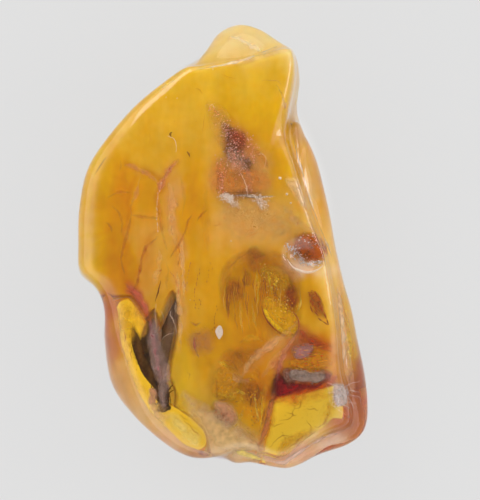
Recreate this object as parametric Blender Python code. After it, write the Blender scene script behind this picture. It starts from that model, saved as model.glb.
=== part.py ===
"""A polished piece of natural amber with a moth sealed inside it, lying on its back.

The amber is one natural lump. It is parted here into a front and a back half along a level plane, so that
the pocket round the moth is open while the halves are apart. Lengths in the constants are in millimetres, and
one helper turns them into Blender's metres. +Y runs along the lump, +Z up from the surface it rests on.
"""

import math

import bmesh
import bpy
import numpy as np
from mathutils import Matrix, Vector

MM = 0.001

# The lump's driving heights: where its front face, its side shoulder and its top cap lie
FACE_HEIGHT = 12.6
SHOULDER_HEIGHT = 8.6
CAP_HEIGHT = 11.0
CREASE_HEIGHT = 8.0
CAP_SLOPE = 0.6  # how fast the cap falls beyond the ridge that closes the face's top
# How far the back's dome would reach below the surface, which leaves the small flat spot that the lump rests on
FLAT_SPOT_CUT = 0.4
HEART = (0.4, -0.6, 5.4)  # a point inside from which all of the lump's surface can be seen

# The parting plane runs through the moth, and the halves stay this far apart
PARTING_HEIGHT = 8.1
PARTING_GAP = 0.3

# Outlines seen from above: x, y, and how far the edge there is rounded
FACE_OUTLINE = (
    (5.3, 10.4, 1.2), (5.65, 12.7, 1.2), (5.6, 14.6, 0.6), (4.8, 15.25, 0.25), (1.8, 14.5, 0.25),
    (-1.4, 14.0, 0.3), (-2.8, 13.8, 0.6), (-4.4, 12.75, 0.9), (-6.7, 10.85, 1.0), (-8.8, 8.45, 1.1),
    (-10.35, 6.0, 1.3), (-11.0, 3.1, 1.5), (-11.1, 0.1, 1.5), (-10.95, -2.0, 1.4), (-9.65, -3.35, 1.6),
    (-9.1, -4.9, 1.8), (-9.05, -7.4, 2.0), (-8.5, -10.6, 2.2), (-6.8, -13.0, 2.2), (-4.4, -15.15, 1.8),
    (-2.4, -16.2, 1.6), (-0.4, -16.2, 1.0), (1.5, -15.6, 0.6), (3.2, -15.9, 0.5), (4.7, -16.2, 0.6),
    (6.3, -15.4, 0.7), (8.1, -14.35, 0.9), (9.8, -13.6, 1.4), (9.8, -11.8, 1.6), (9.2, -9.3, 1.0),
    (8.95, -6.4, 0.45), (8.55, -3.3, 0.3), (7.95, -0.4, 0.25), (6.95, 2.3, 0.25), (5.8, 6.0, 0.3),
    (5.1, 8.4, 0.6),
)
FACE_CENTRE = (-0.5, -1.2)
SHOULDER_OUTLINE = (
    (5.5, 9.6, 1.6), (6.5, 8.4, 2.0), (7.3, 6.7, 2.4), (7.85, 4.7, 2.6), (8.4, 2.3, 2.6), (8.85, -0.4, 2.6),
    (9.4, -2.7, 2.6), (10.05, -4.9, 2.6), (10.5, -7.2, 2.6), (11.0, -9.5, 2.8), (11.35, -11.75, 2.8),
    (11.4, -13.45, 2.6), (10.9, -14.55, 2.2), (9.7, -15.3, 2.0), (7.5, -16.0, 1.6), (6.1, -16.7, 1.4),
    (5.0, -17.05, 1.4), (3.7, -16.9, 1.4), (2.2, -16.6, 1.4), (0.6, -16.5, 1.6), (-1.6, -14.5, 2.0),
    (-3.0, -9.0, 2.0), (-1.0, 0.0, 2.0), (3.0, 6.5, 2.0),
)
SHOULDER_CENTRE = (5.0, -5.0)
CAP_OUTLINE = (
    (5.65, 13.45, 2.0), (5.3, 15.0, 2.2), (4.2, 16.0, 2.4), (3.0, 17.0, 2.4), (1.7, 17.45, 2.4), (0.65, 17.15, 2.4),
    (-0.4, 16.3, 2.4), (-1.15, 15.2, 2.2), (-2.0, 14.1, 2.0), (-3.5, 12.0, 2.0), (-1.0, 8.0, 2.0),
    (4.0, 9.0, 2.0), (5.35, 11.6, 2.0),
)
CAP_CENTRE = (2.0, 12.6)
SPLINE_STEPS = 12

# Hollows in the surface: centre, half-sizes, turn about Z in degrees, and how softly the rim is rounded
HOLLOWS = (
    ((6.3, -0.65, 12.0), (1.6, 1.3, 1.15), -8.0, 0.3),
    ((1.0, 6.3, 12.85), (1.1, 4.2, 0.95), 5.0, 0.4),
    ((4.7, 14.75, 11.8), (0.5, 0.35, 0.3), 15.0, 0.2),
)

# The lower left of the face is ground to a slanting bevel, which ends at the notch in the left edge
BEVEL_AT = (-9.3, -3.0, 11.6)
BEVEL_FACING = (-0.83, -0.29, 0.48)
NOTCH_AT = (-9.6, -3.1, 11.0)
NOTCH_FACING = (-0.66, -0.74, 0.12)

# Facets ground on the back: direction in degrees seen from above, how far it faces down, distance from the middle
BACK_FACETS = (
    (20.0, 48.0, 9.6), (75.0, 40.0, 12.6), (118.0, 52.0, 11.2), (168.0, 42.0, 9.7), (215.0, 50.0, 11.7),
    (262.0, 38.0, 15.2), (318.0, 46.0, 12.6),
)
MIDDLE_HEIGHT = 6.0

LUMP_TRIANGLES = 6000

# The pocket round the moth: a hollow with full shoulders, as long as the moth with room to spare
POCKET_CENTRE = (-5.0, -8.15, 8.1)
POCKET_SIZES = (2.45, 5.3, 1.75)
POCKET_TURN = 4.0
POCKET_POWER = 2.6

# The moth lies head down along the lump, seen from its back
BODY_TURN = 8.0
THORAX, THORAX_SIZES = (-4.5, -11.0, 8.1), (0.5, 0.95, 0.55)
HEAD, HEAD_SIZES = (-4.3, -12.1, 8.1), (0.36, 0.42, 0.36)
ABDOMEN, ABDOMEN_SIZES = (-4.95, -8.4, 8.0), (0.42, 2.6, 0.45)
EYES = ((-4.58, -12.25, 8.15), (-3.98, -12.22, 8.15))
EYE_RADIUS = 0.16
WING_THICKNESS = 0.22
# Each wing: its outline seen from above, and the heights of its root and its tip
LEFT_FOREWING = (
    (-4.6, -11.3), (-5.2, -10.5), (-5.6, -10.05), (-6.0, -9.5), (-6.45, -8.4), (-6.75, -7.3), (-6.85, -6.4),
    (-6.75, -5.75), (-6.35, -6.2), (-6.05, -6.85), (-5.7, -8.3), (-5.1, -9.6),
)
LEFT_HINDWING = (
    (-4.6, -11.0), (-5.35, -9.8), (-5.85, -8.4), (-6.1, -6.9), (-5.95, -5.8), (-5.5, -4.95), (-5.25, -5.5),
    (-5.0, -7.6),
)
RIGHT_HINDWING = (
    (-4.4, -11.0), (-5.1, -8.0), (-5.3, -5.9), (-5.02, -5.05), (-4.7, -5.9), (-4.5, -7.1), (-4.3, -8.8),
)
RIGHT_FOREWING = (
    (-4.5, -11.3), (-4.8, -9.8), (-4.7, -8.4), (-4.5, -7.1), (-4.45, -5.8), (-4.2, -4.5), (-3.85, -3.85),
    (-3.6, -4.3), (-3.5, -5.3), (-3.6, -6.5), (-3.9, -8.2), (-4.15, -9.3), (-4.15, -10.6),
)
WINGS = (
    (LEFT_FOREWING, 8.2, 8.5),
    (LEFT_HINDWING, 8.0, 8.0),
    (RIGHT_HINDWING, 8.05, 7.9),
    (RIGHT_FOREWING, 8.25, 8.9),
)
LEG_RADII = (0.09, 0.06)
LEGS = (
    ((-4.3, -10.7, 8.0), (-3.98, -10.8, 8.1), (-3.85, -10.6, 8.2), (-3.6, -10.4, 8.3)),
    ((-4.3, -11.3, 8.0), (-4.0, -11.4, 8.0), (-3.93, -11.05, 8.1), (-3.55, -10.8, 8.1)),
    ((-4.3, -11.7, 7.9), (-4.02, -11.85, 7.7), (-4.0, -11.45, 7.6), (-4.1, -11.0, 7.55)),
    ((-4.7, -10.8, 8.0), (-5.05, -10.95, 7.9), (-5.2, -10.7, 7.75), (-5.3, -10.35, 7.7)),
    ((-4.6, -11.3, 8.0), (-5.05, -11.45, 7.9), (-5.2, -11.15, 7.8), (-5.35, -10.85, 7.75)),
    ((-4.55, -11.7, 7.9), (-4.85, -11.9, 7.7), (-4.95, -11.6, 7.6), (-4.9, -11.15, 7.55)),
)
FEELER_RADII = (0.07, 0.05)
FEELERS = (
    ((-4.45, -12.25, 8.2), (-4.75, -12.4, 8.3), (-4.95, -12.0, 8.4), (-4.95, -11.3, 8.45)),
    ((-4.15, -12.25, 8.2), (-3.9, -12.35, 8.3), (-3.82, -12.0, 8.4), (-3.9, -11.3, 8.45)),
)

# Finishes: colour, roughness and how much light passes through
AMBER_FINISH = ((0.85, 0.5, 0.1), 0.05, 1.0)
MOTH_FINISH = ((0.11, 0.065, 0.05), 0.8, 0.0)


def smooth_max(a, b, reach):
    """The larger of two distances, with the corner between them rounded over the reach."""
    overlap = np.maximum(reach - np.abs(a - b), 0.0)
    return np.maximum(a, b) + overlap * overlap / (4.0 * reach)


def smooth_min(a, b, reach):
    return -smooth_max(-a, -b, reach)


def closed_spline(rows, steps=SPLINE_STEPS):
    """A closed Catmull-Rom curve through rows of numbers."""
    points = np.array(rows, float)
    before, after, beyond = np.roll(points, 1, 0), np.roll(points, -1, 0), np.roll(points, -2, 0)
    spans = []
    for t in np.arange(steps) / steps:
        spans.append(
            0.5
            * (
                2 * points
                + (after - before) * t
                + (2 * before - 5 * points + 4 * after - beyond) * t**2
                + (3 * points - before - 3 * after + beyond) * t**3
            )
        )
    return np.stack(spans, 1).reshape(-1, points.shape[1])


def outline_table(rows, centre):
    """The outline as distance, edge roundness and slant against the angle about its centre."""
    curve = closed_spline(rows)
    across = curve[:, :2] - np.array(centre)
    angle = np.arctan2(across[:, 1], across[:, 0])
    order = np.argsort(angle)
    angle, reach, edge = angle[order], np.hypot(*across[order].T), curve[order, 2]
    slope = np.gradient(np.append(reach, reach[0]), np.append(angle, angle[0] + 2 * math.pi))[:-1]
    slant = 1.0 / np.sqrt(1.0 + (slope / reach) ** 2)
    return angle, reach, np.maximum(edge, 0.15), slant


def outline_distance(table, centre, x, y):
    """How far points lie outside the outline, and the edge roundness nearest to each."""
    angles, reaches, edges, slants = table
    turn = np.arctan2(y - centre[1], x - centre[0])
    reach, edge, slant = (np.interp(turn, angles, v, period=2 * math.pi) for v in (reaches, edges, slants))
    return (np.hypot(x - centre[0], y - centre[1]) - reach) * slant, edge


FACE = outline_table(FACE_OUTLINE, FACE_CENTRE)
SHOULDER = outline_table(SHOULDER_OUTLINE, SHOULDER_CENTRE)
CAP = outline_table(CAP_OUTLINE, CAP_CENTRE)


def lobe_distance(table, centre, top, x, y, z):
    """Distance outside an upright lobe with this outline and this top surface, rounded where they meet."""
    side, edge = outline_distance(table, centre, x, y)
    return smooth_max(side, z - top, edge)


def hollow_distance(hollow, x, y, z):
    """Distance inside a smooth oval hollow, below zero outside it."""
    (cx, cy, cz), sizes, turn, _ = hollow
    c, s = math.cos(math.radians(turn)), math.sin(math.radians(turn))
    along, across = c * (x - cx) + s * (y - cy), c * (y - cy) - s * (x - cx)
    reach = np.sqrt((along / sizes[0]) ** 2 + (across / sizes[1]) ** 2 + ((z - cz) / sizes[2]) ** 2)
    return (1.0 - reach) * min(sizes)


def plane_distance(place, facing, x, y, z):
    """How far points lie beyond a plane, on the side that it faces."""
    facing = np.array(facing) / np.linalg.norm(facing)
    return (x - place[0]) * facing[0] + (y - place[1]) * facing[1] + (z - place[2]) * facing[2]


def back_distance(x, y, z):
    """Distance below the back: a shallow dome with a few facets ground on it."""
    dome = 0.030 * (x - 0.3) ** 2 + 0.0125 * (y + 0.6) ** 2 - FLAT_SPOT_CUT
    back = (dome - z) * 0.9
    for turn, tilt, reach in BACK_FACETS:
        turn, tilt = math.radians(turn), math.radians(tilt)
        facing = (math.cos(turn) * math.cos(tilt), math.sin(turn) * math.cos(tilt), -math.sin(tilt))
        back = smooth_max(back, plane_distance((0, 0, MIDDLE_HEIGHT), facing, x, y, z) - reach, 0.7)
    return back


def lump_distance(points):
    """Roughly how far points lie outside the amber, in mm, and below zero inside it."""
    x, y, z = points[:, 0], points[:, 1], points[:, 2]
    wave = 0.06 * np.sin(0.45 * x + 0.9) * np.cos(0.31 * y + 0.4) + 0.04 * np.sin(0.8 * y - 0.35 * x)
    barrel = 0.012 * (z - MIDDLE_HEIGHT) ** 2
    face_top = FACE_HEIGHT - (x + 1.0) ** 2 / 75 - (y + 1.0) ** 2 / 230 + wave
    shoulder_top = SHOULDER_HEIGHT - 0.22 * (x - 7.0) - 0.05 * (y - 2.0) + wave
    cap_top = CAP_HEIGHT - CAP_SLOPE * np.maximum(y - 14.0, 0.0) + wave
    face = lobe_distance(FACE, FACE_CENTRE, face_top, x, y, z)
    shoulder = lobe_distance(SHOULDER, SHOULDER_CENTRE, shoulder_top, x, y, z)
    cap = lobe_distance(CAP, CAP_CENTRE, cap_top, x, y, z)
    # The lobes meet in creases on the front and run into each other towards the back
    blend = 0.4 + 0.4 * np.maximum(CREASE_HEIGHT - z, 0.0)
    lump = smooth_min(smooth_min(face, shoulder, blend), cap, blend) + barrel
    # The far right of the face is ground to a slanting facet that falls towards the ridge
    lump = smooth_max(lump, 0.21 * (x - 4.9) + (z - 12.0) - 0.02 * y, 0.5)
    bevel = plane_distance(BEVEL_AT, BEVEL_FACING, x, y, z)
    notch = plane_distance(NOTCH_AT, NOTCH_FACING, x, y, z)
    lump = smooth_max(lump, smooth_min(bevel, notch, 0.8), 0.7)
    for hollow in HOLLOWS:
        lump = smooth_max(lump, hollow_distance(hollow, x, y, z), hollow[3])
    lump = smooth_max(lump, back_distance(x, y, z), 1.8)
    return smooth_max(lump, -z, 0.2)


def surface_points(directions, level=0.0, reach=26.0, scan=52, halvings=22):
    """Where rays from the lump's heart last leave the surface at this distance level."""
    heart = np.array(HEART)
    inside = np.zeros(len(directions))
    for step in np.linspace(0.0, reach, scan):
        within = lump_distance(heart + directions * step) < level
        inside = np.where(within, step, inside)
    outside = inside + reach / (scan - 1)
    for _ in range(halvings):
        middle = 0.5 * (inside + outside)
        within = lump_distance(heart + directions * middle[:, None]) < level
        inside = np.where(within, middle, inside)
        outside = np.where(within, outside, middle)
    return heart + directions * inside[:, None]


def lump_mesh(subdivisions=7):
    """A fine ball whose vertices are pushed out to the lump's surface."""
    ball = bmesh.new()
    bmesh.ops.create_icosphere(ball, subdivisions=subdivisions, radius=1.0)
    stretch = np.array((11.0, 17.0, 7.0))
    directions = np.array([v.co for v in ball.verts]) * stretch
    directions /= np.linalg.norm(directions, axis=1)[:, None]
    for vertex, place in zip(ball.verts, surface_points(directions)):
        vertex.co = Vector(place) * MM
    mesh = bpy.data.meshes.new("lump")
    ball.to_mesh(mesh)
    ball.free()
    return mesh


def shape(name, build):
    """A mesh from a function that fills a bmesh, with its faces turned outwards."""
    solid = bmesh.new()
    build(solid)
    bmesh.ops.recalc_face_normals(solid, faces=solid.faces)
    mesh = bpy.data.meshes.new(name)
    solid.to_mesh(mesh)
    solid.free()
    return mesh


def placed(name, mesh):
    node = bpy.data.objects.new(name, mesh)
    bpy.context.scene.collection.objects.link(node)
    return node


def finished(node, colour, roughness, transmission):
    """Gives a sub-part its own plain material, which metal has no part in."""
    material = bpy.data.materials.new(node.name)
    material.use_nodes = True
    shader = material.node_tree.nodes["Principled BSDF"]
    shader.inputs["Base Color"].default_value = (*colour, 1.0)
    shader.inputs["Roughness"].default_value = roughness
    shader.inputs["Metallic"].default_value = 0.0
    shader.inputs["Transmission Weight"].default_value = transmission
    node.data.materials.clear()
    node.data.materials.append(material)


def evaluated_mesh(node):
    """The node's mesh with its modifiers worked in; the node itself is taken away."""
    graph = bpy.context.evaluated_depsgraph_get()
    mesh = bpy.data.meshes.new_from_object(node.evaluated_get(graph), depsgraph=graph)
    bpy.data.objects.remove(node)
    return mesh


def combined(mesh, others, operation):
    """The mesh joined with, cut by or kept only within the other meshes."""
    for other in others:
        node, tool = placed("blank", mesh), placed("tool", other)
        boolean = node.modifiers.new("boolean", "BOOLEAN")
        boolean.object = tool
        boolean.operation = operation
        boolean.solver = "EXACT"
        mesh = evaluated_mesh(node)
        bpy.data.objects.remove(tool)
    return mesh


def simplified(mesh, triangles):
    """The same surface with fewer triangles, kept densest where it bends most."""
    node = placed("blank", mesh)
    decimate = node.modifiers.new("decimate", "DECIMATE")
    decimate.ratio = triangles / len(mesh.polygons)
    return evaluated_mesh(node)


def slab(low, high):
    """A level block, wider than the lump, between two heights."""
    size = (60.0, 60.0, high - low)
    place = Matrix.LocRotScale(Vector((0, 0, 0.5 * (low + high))) * MM, None, Vector(size) * MM)
    return shape("slab", lambda solid: bmesh.ops.create_cube(solid, size=1.0, matrix=place))


def pocket_mesh():
    """A long hollow with full shoulders, all round the moth."""

    def build(solid):
        bmesh.ops.create_icosphere(solid, subdivisions=3, radius=1.0)
        turn = Matrix.Rotation(math.radians(POCKET_TURN), 3, "Z")
        for vertex in solid.verts:
            fullness = sum(abs(c) ** POCKET_POWER for c in vertex.co) ** (1 / POCKET_POWER)
            grown = Vector(c * size / fullness for c, size in zip(vertex.co, POCKET_SIZES))
            vertex.co = (turn @ grown + Vector(POCKET_CENTRE)) * MM

    return shape("pocket", build)


def oval(centre, sizes, turn=0.0, rings=10, segments=14):
    """An egg shape: half-sizes across, along and up, turned about Z."""
    place = (
        Matrix.Translation(Vector(centre) * MM)
        @ Matrix.Rotation(math.radians(turn), 4, "Z")
        @ Matrix.Diagonal((*(Vector(sizes) * MM), 1.0))
        @ Matrix.Rotation(math.pi / 2, 4, "X")
    )
    return shape(
        "oval",
        lambda solid: bmesh.ops.create_uvsphere(
            solid, u_segments=segments, v_segments=rings, radius=1.0, matrix=place
        ),
    )


def tube(path, start, end, sides=6):
    """A round limb along a path, tapering from one radius to another."""

    def build(solid):
        spots = [Vector(p) for p in path]
        rings = []
        for i, spot in enumerate(spots):
            along = (spots[min(i + 1, len(spots) - 1)] - spots[max(i - 1, 0)]).normalized()
            across = along.cross(Vector((0, 0, 1))).normalized()
            up = across.cross(along)
            radius = start + (end - start) * i / (len(spots) - 1)
            ring = []
            for k in range(sides):
                angle = 2 * math.pi * k / sides
                offset = (across * math.cos(angle) + up * math.sin(angle)) * radius
                ring.append(solid.verts.new((spot + offset) * MM))
            rings.append(ring)
        for ring, following in zip(rings, rings[1:]):
            for k in range(sides):
                solid.faces.new((ring[k], ring[k - 1], following[k - 1], following[k]))
        solid.faces.new(rings[0])
        solid.faces.new(rings[-1])

    return shape("tube", build)


def wing(outline, root_height, tip_height):
    """A thin wing with this outline, rising evenly from its root to its tip."""

    def build(solid):
        ys = [y for _, y in outline]
        rise = (tip_height - root_height) / (max(ys) - min(ys))
        for side in (-0.5, 0.5):
            corners = []
            for x, y in outline:
                height = root_height + rise * (y - min(ys)) + side * WING_THICKNESS
                corners.append(solid.verts.new(Vector((x, y, height)) * MM))
            solid.faces.new(corners)
        solid.verts.ensure_lookup_table()
        count = len(outline)
        for k in range(count):
            corners = (k - 1) % count, k, count + k, count + (k - 1) % count
            solid.faces.new([solid.verts[c] for c in corners])
        bmesh.ops.triangulate(solid, faces=solid.faces)

    return shape("wing", build)


def moth_mesh():
    """The moth as one solid: its body, with the head, wings, legs and feelers grown from it."""
    limbs = [oval(HEAD, HEAD_SIZES, BODY_TURN), oval(ABDOMEN, ABDOMEN_SIZES, BODY_TURN)]
    limbs += [oval(eye, (EYE_RADIUS,) * 3, rings=6, segments=8) for eye in EYES]
    limbs += [wing(*row) for row in WINGS]
    limbs += [tube(path, *LEG_RADII) for path in LEGS]
    limbs += [tube(path, *FEELER_RADII) for path in FEELERS]
    return combined(oval(THORAX, THORAX_SIZES, BODY_TURN), limbs, "UNION")


def build_moth_in_amber():
    for old in list(bpy.data.objects):
        bpy.data.objects.remove(old)
    lump = simplified(lump_mesh(), LUMP_TRIANGLES)
    back_top, front_bottom = PARTING_HEIGHT - PARTING_GAP / 2, PARTING_HEIGHT + PARTING_GAP / 2
    for name, low, high in (("amber_back", -5.0, back_top), ("amber_front", front_bottom, 20.0)):
        half = combined(lump, [slab(low, high)], "INTERSECT")
        finished(placed(name, combined(half, [pocket_mesh()], "DIFFERENCE")), *AMBER_FINISH)
    finished(placed("moth", moth_mesh()), *MOTH_FINISH)


build_moth_in_amber()
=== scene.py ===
"""A lump of polished natural amber with a moth sealed inside it, lying on its back on a pale table.

Shapes are worked out in millimetres and made in Blender's metres. +Y runs along the lump and +Z up from the
table. The clear amber is one piece. Inside it are the cloudy amber, veins, cracks and specks, and the moth.
Marks inside are placed by where they show in the 480 by 500 picture, and follow the front surface at a depth.
"""

import math

import bmesh
import bpy
import numpy as np
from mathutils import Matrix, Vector, noise

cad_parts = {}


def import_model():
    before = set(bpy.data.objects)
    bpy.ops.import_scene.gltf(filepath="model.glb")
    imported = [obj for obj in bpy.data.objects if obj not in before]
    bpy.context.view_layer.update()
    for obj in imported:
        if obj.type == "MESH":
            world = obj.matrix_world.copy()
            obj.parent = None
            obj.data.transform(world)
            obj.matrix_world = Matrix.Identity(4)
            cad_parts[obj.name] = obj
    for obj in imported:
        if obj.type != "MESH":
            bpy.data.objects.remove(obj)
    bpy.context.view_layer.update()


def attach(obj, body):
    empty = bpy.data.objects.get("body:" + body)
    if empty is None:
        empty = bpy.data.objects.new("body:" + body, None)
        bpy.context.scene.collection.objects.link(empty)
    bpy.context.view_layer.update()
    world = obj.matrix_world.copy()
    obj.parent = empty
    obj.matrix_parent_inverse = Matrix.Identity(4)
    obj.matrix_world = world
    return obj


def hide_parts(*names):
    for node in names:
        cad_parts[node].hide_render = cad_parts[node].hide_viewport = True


MM = 0.001

# Camera: a long lens straight above. PIXEL is the size of a picture element, in mm, at VIEW_HEIGHT.
PIXEL = 0.0771
VIEW_HEIGHT = 7.0
LENS = 200.0
SENSOR = 36.0
PICTURE_MIDDLE = (240, 250)
CAMERA_PLACE = (18.0 * PIXEL, -3.5 * PIXEL, 500 * PIXEL * LENS / SENSOR + VIEW_HEIGHT)

# Light: the dome's strength, its strength overhead, the heights on it between which it falls from one to the
# other, and soft boxes as place, size in metres and power
DOME = 1.95
DOME_OVERHEAD = 0.28
OVERHEAD = (0.6, 0.92)
SOFTBOXES = (((-0.5, 0.8, 0.75), 0.6, 3.9), ((0.9, 0.15, 0.42), 0.3, 1.4))
TABLE_COLOUR = 0.08
TABLE_GLOW = 0.64
# The light table is brighter under the lump, out to these half-sizes in mm, and fades over shares of them
TABLE_GLOW_UNDER = 0.9
GLOW_REACH = (8.4, 13.6)
GLOW_FADE = (0.85, 1.1)
# The table's half-size and how far its top lies below the lump, in metres
TABLE_REACH = 1.5
TABLE_DROP = 0.00002

# The clear amber: what colour its thickness leaves, and how strongly
AMBER_TINT = (0.996, 0.86, 0.02)
AMBER_DENSITY = 400.0

# The lump's driving sizes, the same as in the solid
FACE_HEIGHT = 12.6
SHOULDER_HEIGHT = 8.6
CAP_HEIGHT = 11.0
CREASE_HEIGHT = 8.0
CAP_SLOPE = 0.6
FLAT_SPOT_CUT = 0.4
MIDDLE_HEIGHT = 6.0
HEART = (0.4, -0.6, 5.4)

# Outlines seen from above: x, y, and how far the edge there is rounded
FACE_OUTLINE = (
    (5.3, 10.4, 1.2), (5.65, 12.7, 1.2), (5.6, 14.6, 0.6), (4.8, 15.25, 0.25), (1.8, 14.5, 0.25),
    (-1.4, 14.0, 0.3), (-2.8, 13.8, 0.6), (-4.4, 12.75, 0.9), (-6.7, 10.85, 1.0), (-8.8, 8.45, 1.1),
    (-10.35, 6.0, 1.3), (-11.0, 3.1, 1.5), (-11.1, 0.1, 1.5), (-10.95, -2.0, 1.4), (-9.65, -3.35, 1.6),
    (-9.1, -4.9, 1.8), (-9.05, -7.4, 2.0), (-8.5, -10.6, 2.2), (-6.8, -13.0, 2.2), (-4.4, -15.15, 1.8),
    (-2.4, -16.2, 1.6), (-0.4, -16.2, 1.0), (1.5, -15.6, 0.6), (3.2, -15.9, 0.5), (4.7, -16.2, 0.6),
    (6.3, -15.4, 0.7), (8.1, -14.35, 0.9), (9.8, -13.6, 1.4), (9.8, -11.8, 1.6), (9.2, -9.3, 1.0),
    (8.95, -6.4, 0.45), (8.55, -3.3, 0.3), (7.95, -0.4, 0.25), (6.95, 2.3, 0.25), (5.8, 6.0, 0.3),
    (5.1, 8.4, 0.6),
)
FACE_CENTRE = (-0.5, -1.2)
SHOULDER_OUTLINE = (
    (5.5, 9.6, 1.6), (6.5, 8.4, 2.0), (7.3, 6.7, 2.4), (7.85, 4.7, 2.6), (8.4, 2.3, 2.6), (8.85, -0.4, 2.6),
    (9.4, -2.7, 2.6), (10.05, -4.9, 2.6), (10.5, -7.2, 2.6), (11.0, -9.5, 2.8), (11.35, -11.75, 2.8),
    (11.4, -13.45, 2.6), (10.9, -14.55, 2.2), (9.7, -15.3, 2.0), (7.5, -16.0, 1.6), (6.1, -16.7, 1.4),
    (5.0, -17.05, 1.4), (3.7, -16.9, 1.4), (2.2, -16.6, 1.4), (0.6, -16.5, 1.6), (-1.6, -14.5, 2.0),
    (-3.0, -9.0, 2.0), (-1.0, 0.0, 2.0), (3.0, 6.5, 2.0),
)
SHOULDER_CENTRE = (5.0, -5.0)
CAP_OUTLINE = (
    (5.65, 13.45, 2.0), (5.3, 15.0, 2.2), (4.2, 16.0, 2.4), (3.0, 17.0, 2.4), (1.7, 17.45, 2.4),
    (0.65, 17.15, 2.4), (-0.4, 16.3, 2.4), (-1.15, 15.2, 2.2), (-2.0, 14.1, 2.0), (-3.5, 12.0, 2.0),
    (-1.0, 8.0, 2.0), (4.0, 9.0, 2.0), (5.35, 11.6, 2.0),
)
CAP_CENTRE = (2.0, 12.6)
SPLINE_STEPS = 12

# Hollows in the surface: centre, half-sizes, turn about Z in degrees, and how softly the rim is rounded
HOLLOWS = (
    # the pit
    ((6.3, -0.65, 12.0), (1.6, 1.3, 1.15), -8.0, 0.3),
    # the groove
    ((1.0, 6.3, 12.85), (1.1, 4.2, 0.95), 5.0, 0.4),
    # the dent in the cap
    ((4.7, 14.75, 11.8), (0.5, 0.35, 0.3), 15.0, 0.2),
)
# The ground bevel at the left edge and the notch below it, as a place on each plane and the way it faces
BEVEL_AT = (-9.3, -3.0, 11.6)
BEVEL_FACING = (-0.83, -0.29, 0.48)
NOTCH_AT = (-9.6, -3.1, 11.0)
NOTCH_FACING = (-0.66, -0.74, 0.12)
# Facets of the back: turn about Z and tilt downwards in degrees, distance from the middle
BACK_FACETS = (
    (20.0, 48.0, 9.6), (75.0, 40.0, 12.6), (118.0, 52.0, 11.2), (168.0, 42.0, 9.7), (215.0, 50.0, 11.7),
    (262.0, 38.0, 15.2), (318.0, 46.0, 12.6),
)


def smooth_max(a, b, reach):
    """The larger of two distances, with the corner between them rounded over the reach."""
    overlap = np.maximum(reach - np.abs(a - b), 0.0)
    return np.maximum(a, b) + overlap * overlap / (4.0 * reach)


def smooth_min(a, b, reach):
    """The smaller of two distances, with the corner between them rounded over the reach."""
    return -smooth_max(-a, -b, reach)


def between(before, start, end, beyond, t):
    """The place at share t from start to end on a Catmull-Rom curve through four marks."""
    square = (2 * before - 5 * start + 4 * end - beyond) * t**2
    cube = (3 * start - before - 3 * end + beyond) * t**3
    return 0.5 * (2 * start + (end - before) * t + square + cube)


def closed_spline(rows, steps=SPLINE_STEPS):
    """A closed curve through rows of numbers."""
    points = np.array(rows, float)
    before, after, beyond = np.roll(points, 1, 0), np.roll(points, -1, 0), np.roll(points, -2, 0)
    spans = [between(before, points, after, beyond, t) for t in np.arange(steps) / steps]
    return np.stack(spans, 1).reshape(-1, points.shape[1])


def smooth_line(marks, steps=6):
    """An open curve through marks."""
    points = np.array(marks, float)
    points = np.vstack((2 * points[0] - points[1], points, 2 * points[-1] - points[-2]))
    curve = []
    for before, start, end, beyond in zip(points, points[1:], points[2:], points[3:]):
        curve += [between(before, start, end, beyond, t) for t in np.arange(steps) / steps]
    return np.array(curve + [points[-2]])


def outline_table(rows, centre):
    """The outline as distance, edge roundness and slant against the angle about its centre."""
    curve = closed_spline(rows)
    across = curve[:, :2] - np.array(centre)
    angle = np.arctan2(across[:, 1], across[:, 0])
    order = np.argsort(angle)
    angle, reach, edge = angle[order], np.hypot(*across[order].T), curve[order, 2]
    slope = np.gradient(np.append(reach, reach[0]), np.append(angle, angle[0] + 2 * math.pi))[:-1]
    slant = 1.0 / np.sqrt(1.0 + (slope / reach) ** 2)
    return angle, reach, np.maximum(edge, 0.15), slant


def outline_distance(table, centre, x, y):
    """How far points lie outside the outline, and the edge roundness nearest to each."""
    angles, reaches, edges, slants = table
    turn = np.arctan2(y - centre[1], x - centre[0])
    reach, edge, slant = (np.interp(turn, angles, v, period=2 * math.pi) for v in (reaches, edges, slants))
    return (np.hypot(x - centre[0], y - centre[1]) - reach) * slant, edge


FACE = outline_table(FACE_OUTLINE, FACE_CENTRE)
SHOULDER = outline_table(SHOULDER_OUTLINE, SHOULDER_CENTRE)
CAP = outline_table(CAP_OUTLINE, CAP_CENTRE)


def lobe_distance(table, centre, top, x, y, z):
    """Distance outside an upright lobe with this outline and this top surface, rounded where they meet."""
    side, edge = outline_distance(table, centre, x, y)
    return smooth_max(side, z - top, edge)


def hollow_distance(hollow, x, y, z):
    """Distance inside a smooth oval hollow, below zero outside it."""
    (cx, cy, cz), sizes, turn, _ = hollow
    c, s = math.cos(math.radians(turn)), math.sin(math.radians(turn))
    along, across = c * (x - cx) + s * (y - cy), c * (y - cy) - s * (x - cx)
    reach = np.sqrt((along / sizes[0]) ** 2 + (across / sizes[1]) ** 2 + ((z - cz) / sizes[2]) ** 2)
    return (1.0 - reach) * min(sizes)


def plane_distance(place, facing, x, y, z):
    """How far points lie beyond a plane, on the side that it faces."""
    facing = np.array(facing) / np.linalg.norm(facing)
    return (x - place[0]) * facing[0] + (y - place[1]) * facing[1] + (z - place[2]) * facing[2]


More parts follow.
